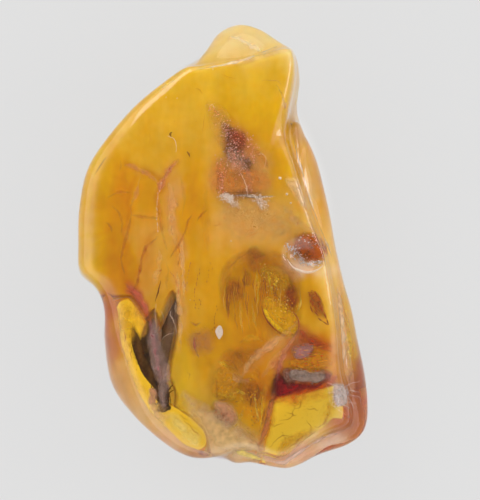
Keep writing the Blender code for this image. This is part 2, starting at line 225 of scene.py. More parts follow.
def back_distance(x, y, z):
    """Distance below the back: a shallow dome with a few facets ground on it."""
    dome = 0.030 * (x - 0.3) ** 2 + 0.0125 * (y + 0.6) ** 2 - FLAT_SPOT_CUT
    back = (dome - z) * 0.9
    for turn, tilt, reach in BACK_FACETS:
        turn, tilt = math.radians(turn), math.radians(tilt)
        facing = (math.cos(turn) * math.cos(tilt), math.sin(turn) * math.cos(tilt), -math.sin(tilt))
        back = smooth_max(back, plane_distance((0, 0, MIDDLE_HEIGHT), facing, x, y, z) - reach, 0.7)
    return back


def lump_distance(points):
    """Roughly how far points lie outside the amber, in mm, and below zero inside it."""
    x, y, z = points[:, 0], points[:, 1], points[:, 2]
    wave = 0.06 * np.sin(0.45 * x + 0.9) * np.cos(0.31 * y + 0.4) + 0.04 * np.sin(0.8 * y - 0.35 * x)
    barrel = 0.012 * (z - MIDDLE_HEIGHT) ** 2
    face_top = FACE_HEIGHT - (x + 1.0) ** 2 / 75 - (y + 1.0) ** 2 / 230 + wave
    shoulder_top = SHOULDER_HEIGHT - 0.22 * (x - 7.0) - 0.05 * (y - 2.0) + wave
    cap_top = CAP_HEIGHT - CAP_SLOPE * np.maximum(y - 14.0, 0.0) + wave
    face = lobe_distance(FACE, FACE_CENTRE, face_top, x, y, z)
    shoulder = lobe_distance(SHOULDER, SHOULDER_CENTRE, shoulder_top, x, y, z)
    cap = lobe_distance(CAP, CAP_CENTRE, cap_top, x, y, z)
    # The lobes meet in creases on the front and run into each other towards the back
    blend = 0.4 + 0.4 * np.maximum(CREASE_HEIGHT - z, 0.0)
    lump = smooth_min(smooth_min(face, shoulder, blend), cap, blend) + barrel
    # The far right of the face is ground to a slanting facet that falls towards the ridge
    lump = smooth_max(lump, 0.21 * (x - 4.9) + (z - 12.0) - 0.02 * y, 0.5)
    bevel = plane_distance(BEVEL_AT, BEVEL_FACING, x, y, z)
    notch = plane_distance(NOTCH_AT, NOTCH_FACING, x, y, z)
    lump = smooth_max(lump, smooth_min(bevel, notch, 0.8), 0.7)
    for hollow in HOLLOWS:
        lump = smooth_max(lump, hollow_distance(hollow, x, y, z), hollow[3])
    lump = smooth_max(lump, back_distance(x, y, z), 1.8)
    return smooth_max(lump, -z, 0.2)


def front_height(xy, top=13.5, low=2.0, scan=48, halvings=16):
    """Height of the amber's front surface at each x and y, looked for from the top down."""
    above, below = np.full(len(xy), top), np.full(len(xy), low)
    found = np.zeros(len(xy), bool)
    for height in np.linspace(top, low, scan):
        heights = np.full(len(xy), height)
        within = lump_distance(np.column_stack((xy, heights))) < 0.0
        below = np.where(within & ~found, height, below)
        above = np.where(within | found, above, height)
        found |= within
    for _ in range(halvings):
        middle = 0.5 * (above + below)
        within = lump_distance(np.column_stack((xy, middle))) < 0.0
        below = np.where(within, middle, below)
        above = np.where(within, above, middle)
    return below


# The height at which the lump's lower edges bulge out most
EDGE_HEIGHT = 7.5

# Front surface heights are kept on a square grid, this far apart in mm
GRID = 0.15


def grid_places(xs, ys):
    """The x and y of each point of a grid, row after row."""
    x, y = np.meshgrid(xs, ys, indexing="ij")
    return np.column_stack((x.ravel(), y.ravel()))


def front_grid():
    """The amber's front surface as heights on a square grid."""
    xs = np.arange(-11.7, 11.8, GRID)
    ys = np.arange(-17.7, 17.8, GRID)
    return xs, ys, front_height(grid_places(xs, ys)).reshape(len(xs), len(ys))


def read_grid(grid, xy):
    """Values between the points of a square grid."""
    xs, ys, values = grid
    u = np.clip((xy[:, 0] - xs[0]) / (xs[1] - xs[0]), 0, len(xs) - 1.001)
    v = np.clip((xy[:, 1] - ys[0]) / (ys[1] - ys[0]), 0, len(ys) - 1.001)
    i, j = u.astype(int), v.astype(int)
    u, v = u - i, v - j
    near = values[i, j] * (1 - v) + values[i, j + 1] * v
    far = values[i + 1, j] * (1 - v) + values[i + 1, j + 1] * v
    return near * (1 - u) + far * u


FRONT = front_grid()


def pixel_at(height):
    """The size of a picture element, in mm, at a height above the table."""
    return PIXEL * (CAMERA_PLACE[2] - height) / (CAMERA_PLACE[2] - VIEW_HEIGHT)


def at_height(marks, height):
    """Where picture marks lie, in mm, at a height above the table."""
    x = CAMERA_PLACE[0] + (marks[:, 0] - PICTURE_MIDDLE[0]) * pixel_at(height)
    y = CAMERA_PLACE[1] + (PICTURE_MIDDLE[1] - marks[:, 1]) * pixel_at(height)
    return np.column_stack((x, y))


def in_picture(points):
    """Where points of the lump show in the picture."""
    pixel = pixel_at(points[:, 2])
    column = PICTURE_MIDDLE[0] + (points[:, 0] - CAMERA_PLACE[0]) / pixel
    row = PICTURE_MIDDLE[1] - (points[:, 1] - CAMERA_PLACE[1]) / pixel
    return np.column_stack((column, row))


def on_front(marks):
    """Places on the front surface, as x and y in mm, from marks in the picture."""
    marks = np.atleast_2d(np.array(marks, float))
    place = at_height(marks, 12.0)
    for _ in range(2):
        place = at_height(marks, read_grid(FRONT, place))
    return place


# Slopes above this count as upright
UPRIGHT_SLOPE = 5.0


def front_facing(xy, reach=0.12, steepest=1.2):
    """Which way the front surface faces, with its slope held to the steepest."""
    along = read_grid(FRONT, xy + (reach, 0)) - read_grid(FRONT, xy - (reach, 0))
    across = read_grid(FRONT, xy + (0, reach)) - read_grid(FRONT, xy - (0, reach))
    slopes = np.clip(np.column_stack((along, across)) / (2 * reach), -steepest, steepest)
    facing = np.column_stack((-slopes, np.ones(len(xy))))
    return facing / np.linalg.norm(facing, axis=1)[:, None]


def under_front(marks, depth):
    """Places in mm this deep under the front surface, from marks in the picture."""
    xy = on_front(marks)
    surface = np.column_stack((xy, np.maximum(read_grid(FRONT, xy), EDGE_HEIGHT)))
    return kept_inside(surface - front_facing(xy) * np.reshape(depth, (-1, 1)))


def kept_inside(points, skin=0.09):
    """Points moved level towards the lump's middle until they lie this far inside it."""
    inward = np.array(HEART) * (1, 1, 0) - points * (1, 1, 0)
    inward /= np.maximum(np.linalg.norm(inward, axis=1), 1e-6)[:, None]
    for _ in range(6):
        points = points + inward * np.maximum(lump_distance(points) + skin, 0.0)[:, None]
    return points


def linear(rgb):
    """A colour given as 0 to 255 screen values, in the linear values that shaders take."""
    return tuple((c / 255 / 12.92) if c <= 10 else ((c / 255 + 0.055) / 1.055) ** 2.4 for c in rgb)


def away_from_line(xy, line):
    """Distance of each point from a line of points."""
    nearest = np.full(len(xy), 1e9)
    for start, end in zip(line, line[1:]):
        along = end - start
        share = np.clip(((xy - start) @ along) / (along @ along), 0.0, 1.0)
        nearest = np.minimum(nearest, np.linalg.norm(xy - start - share[:, None] * along, axis=1))
    return nearest


def outside_outline(xy, outline):
    """Distance of each point outside a closed outline, and below zero inside it."""
    closed = np.vstack((outline, outline[:1]))
    within = np.zeros(len(xy), bool)
    for (x0, y0), (x1, y1) in zip(closed, closed[1:]):
        if y0 == y1:
            continue
        crosses = (y0 > xy[:, 1]) != (y1 > xy[:, 1])
        within ^= crosses & (xy[:, 0] < (x1 - x0) * (xy[:, 1] - y0) / (y1 - y0) + x0)
    away = away_from_line(xy, closed)
    return np.where(within, -away, away)


# Where the cloud is cut away from the front: outline in the picture, depth in mm, softness of the edge in mm
CUTS = (
    # the clear lower left, under the moth's left wing
    (((60, 283), (112, 296), (131, 297), (139, 309), (147, 322), (152, 340), (158, 362), (163, 385),
     (167, 402),
      (178, 410), (192, 420), (203, 430), (208, 444), (212, 480), (60, 480)), 14.0, 0.15),
    # the clear lower right
    (((263, 480), (258, 452), (264, 436), (267, 420), (270, 402), (280, 397), (300, 394), (322, 388),
     (331, 385),
      (336, 392), (346, 394), (400, 380), (400, 480)), 14.0, 0.15),
    # the deep place that holds the moth, close round its wings
    (((128, 314), (136, 325), (141, 335), (144, 322), (150, 313), (154, 308), (158, 316), (161, 332),
      (162, 318), (165, 303), (171, 292), (176, 296), (179, 312), (178, 330), (175, 348), (171, 364),
      (169, 376), (174, 386), (177, 397), (173, 414), (160, 420), (140, 390), (122, 350)), 5.2, 0.12),
    # the turbid amber below the middle
    (((186, 334), (205, 340), (235, 346), (262, 356), (268, 366), (266, 400), (258, 452), (200, 452),
     (184, 410)),
     0.6, 2.6),
)
# Softer hollows in the cloud: middle in the picture, half-width, half-height, depth in mm
DIPS = (
    (262, 296, 38, 40, 1.3),
    (112, 225, 20, 62, 0.9),
    (349, 335, 5, 50, 0.5),
)
# How thick the clear skin over the cloud is, in mm: under the face, at the sides, and along the right edge
CLOUD_DEPTH = 0.3
SIDE_DEPTH = 0.12
THIN_SKIN = 0.05


def eased(share):
    """Shares from 0 to 1, with a soft start and a soft end."""
    return share * share * (3 - 2 * share)


def cut_grid():
    """How deep the cloud is cut away below the face, in mm, on a square grid."""
    xs, ys, _ = FRONT
    xy = grid_places(xs, ys)
    depth = np.zeros(len(xy))
    for outline, deepest, softness in CUTS:
        share = np.clip(-outside_outline(xy, on_front(outline)) / softness, 0.0, 1.0)
        depth = np.maximum(depth, deepest * eased(share))
    for px, py, half_width, half_height, deepest in DIPS:
        away = (xy - on_front((px, py))[0]) / (np.array((half_width, half_height)) * PIXEL)
        depth = smooth_max(depth, deepest * np.exp(-((away**2).sum(1) ** 2)), 0.4)
    return xs, ys, depth.reshape(len(xs), len(ys))


CUT = cut_grid()

# Colour zones of the cloudy amber, as they show: middle in the picture, half-sizes, strength, colour
BUTTERSCOTCH = (226, 166, 58)
ZONES = (
    # top and cap
    (240, 84, 66, 34, 3.0, (232, 172, 42)),
    (243, 46, 40, 15, 8.0, (250, 202, 100)),
    (262, 38, 26, 9, 4.0, (252, 212, 124)),
    (286, 55, 11, 12, 4.0, (248, 200, 106)),
    (290, 95, 9, 36, 3.0, (236, 176, 66)),
    (262, 92, 16, 24, 2.0, (232, 170, 48)),
    (180, 95, 30, 26, 2.0, (224, 160, 46)),
    (262, 128, 26, 22, 3.0, (224, 156, 30)),
    (248, 112, 30, 10, 2.0, (230, 164, 30)),
    # left lobe
    (86, 215, 8, 70, 6.0, (216, 154, 56)),
    (100, 235, 9, 60, 6.0, (214, 156, 12)),
    (113, 240, 9, 60, 5.0, (196, 122, 6)),
    (124, 195, 12, 26, 4.0, (204, 118, 12)),
    (118, 272, 14, 22, 5.0, (184, 108, 6)),
    (150, 150, 40, 22, 2.0, (220, 158, 44)),
    (146, 200, 10, 20, 3.0, (206, 132, 26)),
    (148, 244, 10, 26, 4.0, (214, 140, 60)),
    (150, 275, 10, 20, 4.0, (218, 146, 66)),
    (174, 205, 8, 36, 3.0, (214, 142, 66)),
    (168, 285, 12, 30, 3.0, (214, 150, 54)),
    (200, 262, 20, 46, 2.5, (208, 140, 36)),
    (196, 200, 16, 50, 2.0, (210, 136, 22)),
    # groove and the middle
    (244, 172, 22, 26, 5.0, (232, 148, 76)),
    (234, 140, 8, 14, 5.0, (206, 112, 66)),
    (244, 140, 12, 16, 3.0, (206, 116, 36)),
    (240, 186, 18, 8, 4.0, (218, 126, 60)),
    (252, 226, 36, 22, 4.0, (240, 164, 84)),
    (282, 150, 12, 40, 4.0, (202, 130, 18)),
    (296, 206, 14, 26, 3.0, (212, 150, 56)),
    (305, 197, 8, 18, 4.0, (228, 172, 96)),
    (322, 260, 8, 34, 4.0, (248, 172, 66)),
    # the pit: darker red inside, and a pale lower lip that is a painted highlight
    (304, 248, 16, 10, 9.0, (166, 82, 40)),
    (306, 269, 19, 5, 9.0, (250, 196, 146)),
    (310, 300, 18, 26, 3.0, (208, 134, 34)),
    # disc
    (262, 292, 34, 36, 6.0, (212, 134, 18)),
    (246, 300, 12, 26, 3.0, (192, 128, 34)),
    (262, 262, 14, 10, 4.0, (180, 106, 50)),
    # below the middle
    (204, 345, 30, 26, 3.0, (204, 140, 38)),
    (206, 388, 28, 30, 4.0, (204, 150, 50)),
    (184, 380, 9, 34, 5.0, (226, 172, 42)),
    (232, 340, 24, 14, 4.0, (190, 118, 22)),
    (236, 368, 22, 12, 4.0, (202, 122, 46)),
    (228, 388, 12, 10, 4.0, (218, 150, 24)),
    (252, 410, 11, 34, 5.0, (216, 130, 28)),
    (236, 432, 18, 8, 5.0, (222, 168, 38)),
    (218, 442, 34, 12, 5.0, (208, 160, 106)),
    (262, 348, 14, 18, 4.0, (200, 118, 48)),
    (312, 350, 24, 12, 5.0, (192, 98, 28)),
    (312, 364, 26, 6, 5.0, (210, 124, 26)),
    (302, 378, 32, 8, 6.0, (164, 74, 36)),
    (296, 391, 34, 7, 10.0, (120, 18, 4)),
    # right side
    (308, 128, 12, 14, 5.0, (228, 166, 96)),
    (316, 150, 12, 26, 5.0, (226, 150, 60)),
    (326, 205, 8, 44, 5.0, (214, 136, 34)),
    (326, 255, 7, 30, 7.0, (255, 196, 96)),
    (341, 330, 5, 50, 6.0, (228, 164, 90)),
    (349, 335, 5, 40, 8.0, (222, 164, 14)),
    (356, 392, 14, 46, 16.0, (140, 64, 24)),
    # rims
    (108, 312, 8, 22, 14.0, (150, 66, 16)),
    (110, 345, 10, 22, 12.0, (176, 96, 12)),
    (120, 384, 14, 20, 10.0, (196, 130, 60)),
    (140, 412, 16, 16, 8.0, (208, 154, 88)),
    (166, 440, 18, 12, 8.0, (206, 146, 96)),
    (196, 456, 26, 7, 8.0, (156, 102, 78)),
    (300, 454, 40, 9, 8.0, (212, 150, 112)),
    (350, 424, 16, 12, 12.0, (158, 82, 46)),
    (334, 440, 14, 7, 12.0, (216, 164, 128)),
)

# Streaks in the cloud, along lines of picture places: half-width in pixels, strength, colour
REDDISH = (168, 88, 44)
STREAKS = (
    (((130, 165), (143, 171), (152, 176), (161, 186), (168, 172), (179, 160)), 3.0, 1.6, REDDISH),
    (((161, 186), (158, 200), (157, 220), (159, 234), (147, 246), (142, 262), (135, 288)), 3.0, 1.6, REDDISH),
    (((140, 178), (134, 196), (131, 215), (126, 238), (121, 262), (126, 288)), 3.0, 1.6, REDDISH),
    (((128, 286), (136, 294), (144, 308), (148, 322), (151, 338), (154, 355)), 4.5, 8.0, (170, 74, 60)),
    (((172, 190), (174, 220), (178, 250), (181, 300), (181, 350)), 4.0, 2.0, (224, 156, 88)),
    (((192, 180), (194, 230), (190, 280)), 5.0, 1.5, (196, 120, 20)),
    (((300, 328), (312, 340), (332, 352)), 5.0, 5.0, (156, 68, 44)),
    (((298, 332), (288, 348), (280, 366), (277, 382)), 4.0, 5.0, (180, 92, 66)),
    (((277, 382), (268, 420), (262, 440), (259, 450)), 4.0, 6.0, (180, 98, 56)),
    (((288, 336), (266, 350), (248, 364), (234, 380)), 6.0, 3.0, (212, 140, 80)),
)

# How far the zones' edges wander, in pixels, and over what distance, once widely and once finely
WANDER = ((5.0, 24.0), (2.0, 8.0))
# What the deeper bands and veins of the back and the sides show
BACK_BROWN = (176, 96, 16)
BACK_VEIN = (140, 60, 20)
BACK_PALE = (240, 190, 104)
# Up to this height in mm the back's colours show alone, and over the rise above it the front's take over
BACK_COLOURS_TO = 5.0
FRONT_COLOURS_RISE = 2.5


def noise_over(places, features=1.0):
    """Smooth noise at each place, with this many features to a millimetre."""
    return np.array([noise.noise(Vector(place) * features) for place in places])


def level_noise(xy, seed, features=1.0):
    """Smooth noise over places on a level plane, with a plane of its own for each seed."""
    return noise_over(np.column_stack((xy, np.full(len(xy), float(seed)))), features)


def noise_at(points, size, seed=0.0):
    """Smooth noise from about -1 to 1, with features of this size."""
    return np.array([noise.noise(Vector(p) / size + Vector((seed, 0, 0))) for p in points]) * 1.6


def wandered(marks, amount=1.0):
    """Marks shifted by smooth noise, so that soft shapes in the cloud get natural edges."""
    flat = np.column_stack((marks, np.zeros(len(marks))))
    shifts = []
    for reach, size in WANDER:
        shifts.append(reach * np.column_stack((noise_at(flat, size, 3.0), noise_at(flat, size, 11.0))))
    return marks + amount * sum(shifts)


def back_colours(points):
    """Bands and veins of the cloud at its back and sides."""
    patches = np.clip(noise_at(points * (1.0, 0.5, 1.0), 3.2, 40.0) + 0.1, 0.0, 1.0)
    pale = np.clip(noise_at(points, 4.5, 50.0), 0.0, 1.0)
    # Veins run where one noise crosses zero, and come and go with another
    crossing = np.exp(-np.abs(noise_at(points, 3.0, 60.0)) / 0.05)
    veins = crossing * np.clip(noise_at(points, 5.0, 70.0) * 3, 0, 1)
    shares = np.column_stack((0.9 * patches, 0.6 * pale, 0.9 * veins))
    own = np.maximum(1.0 - shares.sum(1), 0.0)
    colours = np.array([linear(BACK_BROWN), linear(BACK_PALE), linear(BACK_VEIN)])
    mix = own[:, None] * np.array(linear(BUTTERSCOTCH)) + shares @ colours
    return mix / (own + shares.sum(1))[:, None]


def shown_colours(points):
    """The colour that the cloud shows at each point: its zones and streaks, mixed by how near each one is."""
    front = np.clip((points[:, 2] - BACK_COLOURS_TO) / FRONT_COLOURS_RISE, 0.0, 1.0)
    marks = wandered(in_picture(points))
    total = np.ones(len(points))
    mix = back_colours(points) * (1 - front)[:, None] + front[:, None] * np.array(linear(BUTTERSCOTCH))
    for px, py, half_width, half_height, strength, colour in ZONES:
        away = (((marks - (px, py)) / (half_width, half_height)) ** 2).sum(1)
        weight = strength * np.exp(-away) * front
        mix += weight[:, None] * np.array(linear(colour))
        total += weight
    for line, half_width, strength, colour in STREAKS:
        away = away_from_line(marks, np.array(line, float)) / half_width
        weight = strength * np.exp(-(away**2)) * front
        mix += weight[:, None] * np.array(linear(colour))
        total += weight
    grain = 1.0 + 0.10 * noise_at(points * (1.0, 0.3, 1.0), 1.3, 20.0) + 0.05 * noise_at(points, 0.5, 30.0)
    return mix / total[:, None] * np.column_stack((0.5 + 0.5 * grain, grain, grain**2))


# How much of the light that falls on the lump comes back from a white cloud, what the polished surface itself
# reflects to the camera, and how much longer than twice the depth the light's way through the clear amber is
LIGHT_BACK = (1.01, 1.1, 1.01)
GLEAM = 0.022
WAY_BACK = 2.3
# The steep edges face the bright sides of the dome, so the cloud there is darker by up to this share. The
# shade starts at a steepness, from 0 for level to 1 for upright, and is full once that has risen further.
EDGE_SHADE = 0.15
SHADE_FROM, SHADE_RISE = 0.45, 0.3
# Below this height the cloud is coloured as a side or the back, and above it as no deeper than the next
SIDES_BELOW = 5.5
DEEPEST_TINT = 6.0
# Where the skin is thinner than this, in mm, light leaves through it over a way this many times as long.
# Over the rise, the depth below the front takes over.
THIN_SKIN_TO, THIN_SKIN_RISE = 0.13, 0.15
SKIN_WAY = 1.2


def own_colours(shown, depth):
    """The colour that a thing this deep must have to show as wanted through the clear amber over it."""
    taken_up = AMBER_DENSITY * MM * (1 - np.array(AMBER_TINT))
    passed = np.exp(-np.outer(WAY_BACK * depth, taken_up)) * np.array(LIGHT_BACK)
    share = np.clip((shown - GLEAM) / passed, 0.002, 0.97)
    # Light that the amber's surface turns back inwards meets the cloud again, which deepens its colour
    return share / (0.4 + 0.6 * share)


def depth_under_front(points):
    """How deep points lie below the front surface, and no less than the clear skin over the cloud."""
    return np.maximum(read_grid(FRONT, points[:, :2]) - points[:, 2], CLOUD_DEPTH)


def cloud_tint(points):
    """The cloudy amber's own colour at each point."""
    depth = depth_under_front(points)
    # The sides and the back lie under their own skin, however far they are below the front
    depth = np.where(points[:, 2] < SIDES_BELOW, CLOUD_DEPTH, np.minimum(depth, DEEPEST_TINT))
    # Along the upright sides light leaves through the thin skin at once
    skin = np.maximum(-lump_distance(points), 0.02)
    way = SKIN_WAY * skin
    depth = way + (depth - way) * np.clip((skin - THIN_SKIN_TO) / THIN_SKIN_RISE, 0.0, 1.0)
    upright = 1.0 - front_facing(points[:, :2], steepest=UPRIGHT_SLOPE)[:, 2]
    shade = 1.0 - EDGE_SHADE * np.clip((upright - SHADE_FROM) / SHADE_RISE, 0.0, 1.0)
    return own_colours(shown_colours(points) * shade[:, None], depth)


def piece(name, points, faces, material, tint=None, cover=None, slot="amber"):
    """A named mesh that rides with the lump, from corners in mm, each with a colour and a cover."""
    mesh = bpy.data.meshes.new(name)
    mesh.from_pydata((np.array(points) * MM).tolist(), [], faces)
    if tint is not None:
        colours = mesh.color_attributes.new("tint", "FLOAT_COLOR", "POINT")
        colours.data.foreach_set("color", np.column_stack((tint, np.ones(len(tint)))).ravel())
    if cover is not None:
        covers = mesh.attributes.new("cover", "FLOAT", "POINT")
        covers.data.foreach_set("value", cover)
    mesh.shade_smooth()
    mesh.materials.append(material)
    node = bpy.data.objects.new(name, mesh)
    bpy.context.scene.collection.objects.link(node)
    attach(node, "root")
    return node


class Batch:
    """Corners, faces and colours gathered for one mesh."""

    def __init__(self):
        self.points, self.faces, self.tints, self.covers = [], [], [], []

    def add(self, shape, tint, cover=1.0):
        """Adds a shape, given as its corners and faces, in one colour or one for each corner."""
        points, faces = shape
        start = sum(len(p) for p in self.points)
        self.faces += [[corner + start for corner in face] for face in faces]
        self.points.append(np.array(points))
        self.tints.append(np.broadcast_to(tint, (len(points), 3)))
        self.covers.append(np.broadcast_to(cover, len(points)))

    def make(self, name, material, **options):
        """Makes the piece that the gathered shapes form."""
        points, tints, covers = (np.concatenate(rows) for rows in (self.points, self.tints, self.covers))
        return piece(name, points, self.faces, material, tints, covers, **options)


def thread(path, widths, flatness=1.0, sides=6):
    """A tapered thread along a path, with half-widths from start to end, thinner upwards by flatness."""
    share = np.linspace(0, 1, len(path))
    width = np.interp(share, np.linspace(0, 1, len(widths)), widths)
    along = np.gradient(path, axis=0)
    along /= np.linalg.norm(along, axis=1)[:, None]
    across = np.cross(along, (0, 0, 1))
    across /= np.maximum(np.linalg.norm(across, axis=1), 1e-6)[:, None]
    up = np.cross(across, along)
    points, faces = [], []
    for k in range(sides):
        angle = 2 * math.pi * k / sides
        offset = across * math.cos(angle) + up * math.sin(angle) * flatness
        points.append(path + offset * width[:, None])
    points = np.stack(points, 1).reshape(-1, 3)
    for ring in range(len(path) - 1):
        for k in range(sides):
            after = (k + 1) % sides
            low, high = ring * sides, (ring + 1) * sides
            faces.append((low + k, low + after, high + after, high + k))
    faces.append(tuple(range(sides))[::-1])
    faces.append(tuple(range((len(path) - 1) * sides, len(path) * sides)))
    return points, faces


def strand(marks, depth, widths, flatness=0.6, wander=0.0, seed=0):
    """A thread through marks in the picture, under the front surface, that wanders a little off its line."""
    line = smooth_line(marks)
    shaken = np.random.default_rng(seed).normal(0, 1, line.shape)
    shaken[1:-1] = (shaken[:-2] + 2 * shaken[1:-1] + shaken[2:]) / 4
    return thread(under_front(line + shaken * wander, depth), widths, flatness)


def dashes(marks, depth, width, count, fill=0.6, wander=0.0, seed=0):
    """A broken thread: short dashes along marks in the picture."""
    line = smooth_line(marks)
    along = np.append(0, np.cumsum(np.linalg.norm(np.diff(line, axis=0), axis=1)))
    chance = np.random.default_rng(seed)
    for start in np.linspace(0, along[-1], count, endpoint=False):
        length = along[-1] / count * fill * chance.uniform(0.5, 1.3)
        spots = np.linspace(start, min(start + length, along[-1]), 4)
        place = np.column_stack([np.interp(spots, along, axis) for axis in line.T])
        place += chance.normal(0, 1, 2) * wander
        widest = width * chance.uniform(0.7, 1.3)
        yield thread(under_front(place, depth), (0.3 * width, widest, 0.3 * width), 0.7)


def soft_band(marks, depth, half_width, seed):
    """A flat ribbon along marks in the picture, under the front surface, of uneven width.

    Gives its corners and faces, and for each corner a share that falls to nothing at the sides and ends.
    """
    line = smooth_line(marks)
    line = line + np.random.default_rng(seed).normal(0, 0.12 * half_width, line.shape)
    along = np.gradient(line, axis=0)
    side = np.column_stack((-along[:, 1], along[:, 0])) / np.linalg.norm(along, axis=1)[:, None]
    uneven = level_noise(line / 9.0, seed)
    full = np.sqrt(np.sin(math.pi * np.linspace(0.02, 0.98, len(line)))) * (1.0 + 0.8 * uneven)
    # Across the ribbon: each column's place from side to side, and its cover
    columns = ((-1.0, 0.0), (-0.5, 0.75), (0.0, 1.0), (0.5, 0.75), (1.0, 0.0))
    places = [line + side * (place * half_width * full)[:, None] for place, _ in columns]
    share = np.stack([cover * np.clip(full, 0, 1) for _, cover in columns], 1).ravel()
    points = under_front(np.stack(places, 1).reshape(-1, 2), depth)
    faces = []
    for row in range(len(line) - 1):
        for k in range(len(columns) - 1):
            start = row * len(columns) + k
            faces.append((start, start + 1, start + 1 + len(columns), start + len(columns)))
    return points, faces, share


def clipped_grid(xs, ys, level):
    """Triangles on a square grid where the level is below zero, cut along its zero line.

    Gives the corners' x and y, the triangles, and which corners lie on the cut.
    """
    corners = grid_places(xs, ys).tolist()
    flat, rows = level, len(ys)
    level = level.reshape(len(xs), rows)
    cuts, triangles = {}, []

    def cut(a, b):
        """The corner where the zero line crosses the edge between two others."""
        key = (min(a, b), max(a, b))
        if key not in cuts:
            share = flat[key[0]] / (flat[key[0]] - flat[key[1]])
            start, end = corners[key[0]], corners[key[1]]
            cuts[key] = len(corners)
            corners.append([start[k] + (end[k] - start[k]) * share for k in (0, 1)])
        return cuts[key]

    lowest = np.minimum.reduce((level[:-1, :-1], level[1:, :-1], level[:-1, 1:], level[1:, 1:]))
    for i, j in zip(*np.nonzero(lowest < 0)):
        a, b, c, d = i * rows + j, (i + 1) * rows + j, (i + 1) * rows + j + 1, i * rows + j + 1
        for triangle in ((a, b, c), (a, c, d)):
            inside = [flat[corner] < 0 for corner in triangle]
            if all(inside):
                triangles.append(triangle)
            elif sum(inside) == 1:
                first = inside.index(True)
                p, q, r = (triangle[(first + k) % 3] for k in range(3))
                triangles.append((p, cut(p, q), cut(p, r)))
            elif sum(inside) == 2:
                first = inside.index(False)
                p, q, r = (triangle[(first + k) % 3] for k in range(3))
                triangles.append((cut(p, q), q, r))
                triangles.append((cut(p, q), r, cut(p, r)))
    used = sorted({corner for triangle in triangles for corner in triangle})
    place = {corner: k for k, corner in enumerate(used)}
    on_cut = np.array([corner >= len(flat) for corner in used])
    triangles = [tuple(place[corner] for corner in triangle) for triangle in triangles]
    return np.array([corners[corner] for corner in used]), triangles, on_cut


def two_sided(xy, top, thickness, triangles, on_cut):
    """The corners and faces of an upper and a lower sheet that share their corners on the cut edge."""
    upper = np.column_stack((xy, top))
    lower = np.column_stack((xy, top - thickness))[~on_cut]
    below = np.where(on_cut, np.arange(len(xy)), np.cumsum(~on_cut) - 1 + len(xy))
    faces = triangles + [tuple(below[list(triangle)][::-1]) for triangle in triangles]
    return np.vstack((upper, lower)), faces


# How far plates stay inside the lump's edge as seen from above, in mm
EDGE_SKIN = 0.2


def outside_plate(xy, line):
    """Distance outside an outline on the front surface, kept within the lump's edge as seen from above."""
    edge = lump_distance(np.column_stack((xy, np.full(len(xy), EDGE_HEIGHT)))) + EDGE_SKIN
    return np.maximum(outside_outline(xy, line), edge)


def plate(outline, depth, thickness, spacing=0.12, soft=0.4, ragged=0.0):
    """A lens-like plate under the front surface, with its outline in the picture.

    Gives its corners and faces. It thins to nothing over the soft width along its edge.
    """
    line = on_front(closed_spline(outline, 6))
    low, high = line.min(0) - 3 * spacing, line.max(0) + 3 * spacing
    xs, ys = np.arange(low[0], high[0], spacing), np.arange(low[1], high[1], spacing)
    xy = grid_places(xs, ys)
    level = outside_plate(xy, line)
    if ragged:
        level += ragged * level_noise(xy, depth, 4.0)
    xy, triangles, on_cut = clipped_grid(xs, ys, level)
    inward = np.where(on_cut, 0.0, np.maximum(-outside_plate(xy, line), 0.02))
    fullness = np.sqrt(np.clip(inward / soft, 0.0, 1.0))
    steep = 1.0 / front_facing(xy)[:, 2]
    top = read_grid(FRONT, xy) - depth * steep
    return two_sided(xy, top, thickness * fullness * steep, triangles, on_cut)


def grown(outline, reach):
    """An outline in the picture with its corners moved out from its middle."""
    marks = np.array(outline, float)
    out = marks - marks.mean(0)
    return marks + reach * out / np.linalg.norm(out, axis=1)[:, None]


def edge_share(outline, points, soft):
    """How far inside an outline points show, from 0 at its wandering edge to 1 where the soft edge ends."""
    marks = closed_spline(outline, 6)
    share = np.clip(-outside_outline(wandered(in_picture(points), 0.6), marks) / soft, 0.0, 1.0)
    rim = np.clip(-outside_outline(in_picture(points), marks) / 2.0, 0.0, 1.0)
    return eased(share) * rim


def turned(points, centre, angle):
    """Points turned about Z by an angle and moved to a centre."""
    c, s = math.cos(angle), math.sin(angle)
    x, y = points[:, 0], points[:, 1]
    return np.column_stack((c * x - s * y, s * x + c * y, points[:, 2])) + centre


def crumb_cloud(spots, depth, sizes, seed):
    """Small rough grains at spots in the picture, as one shape."""
    chance = np.random.default_rng(seed)
    grain = bmesh.new()
    bmesh.ops.create_icosphere(grain, subdivisions=1, radius=1.0)
    corners = np.array([v.co for v in grain.verts])
    faces = [[v.index for v in f.verts] for f in grain.faces]
    grain.free()
    points, all_faces = [], []
    for place, size in zip(under_front(spots, depth), sizes):
        stretch = chance.uniform(0.6, 1.5, 3)
        rough = chance.uniform(0.7, 1.25, (len(corners), 1))
        all_faces += [[k + len(points) * len(corners) for k in face] for face in faces]
        points.append(turned(corners * stretch * rough * size, place, chance.uniform(0, 2 * math.pi)))
    return np.concatenate(points), all_faces


def crumbs(spots, depth, smallest, largest, seed):
    """Grains of random sizes at spots in the picture."""
    sizes = np.random.default_rng(seed).uniform(smallest, largest, len(spots))
    return crumb_cloud(spots, depth, sizes, seed + 1)


def scatter(line, spread, count, seed):
    """Random spots near a line in the picture."""
    chance = np.random.default_rng(seed)
    path = smooth_line(line)
    picked = path[chance.integers(0, len(path), count)]
    return picked + chance.normal(0, 1, (count, 2)) * spread


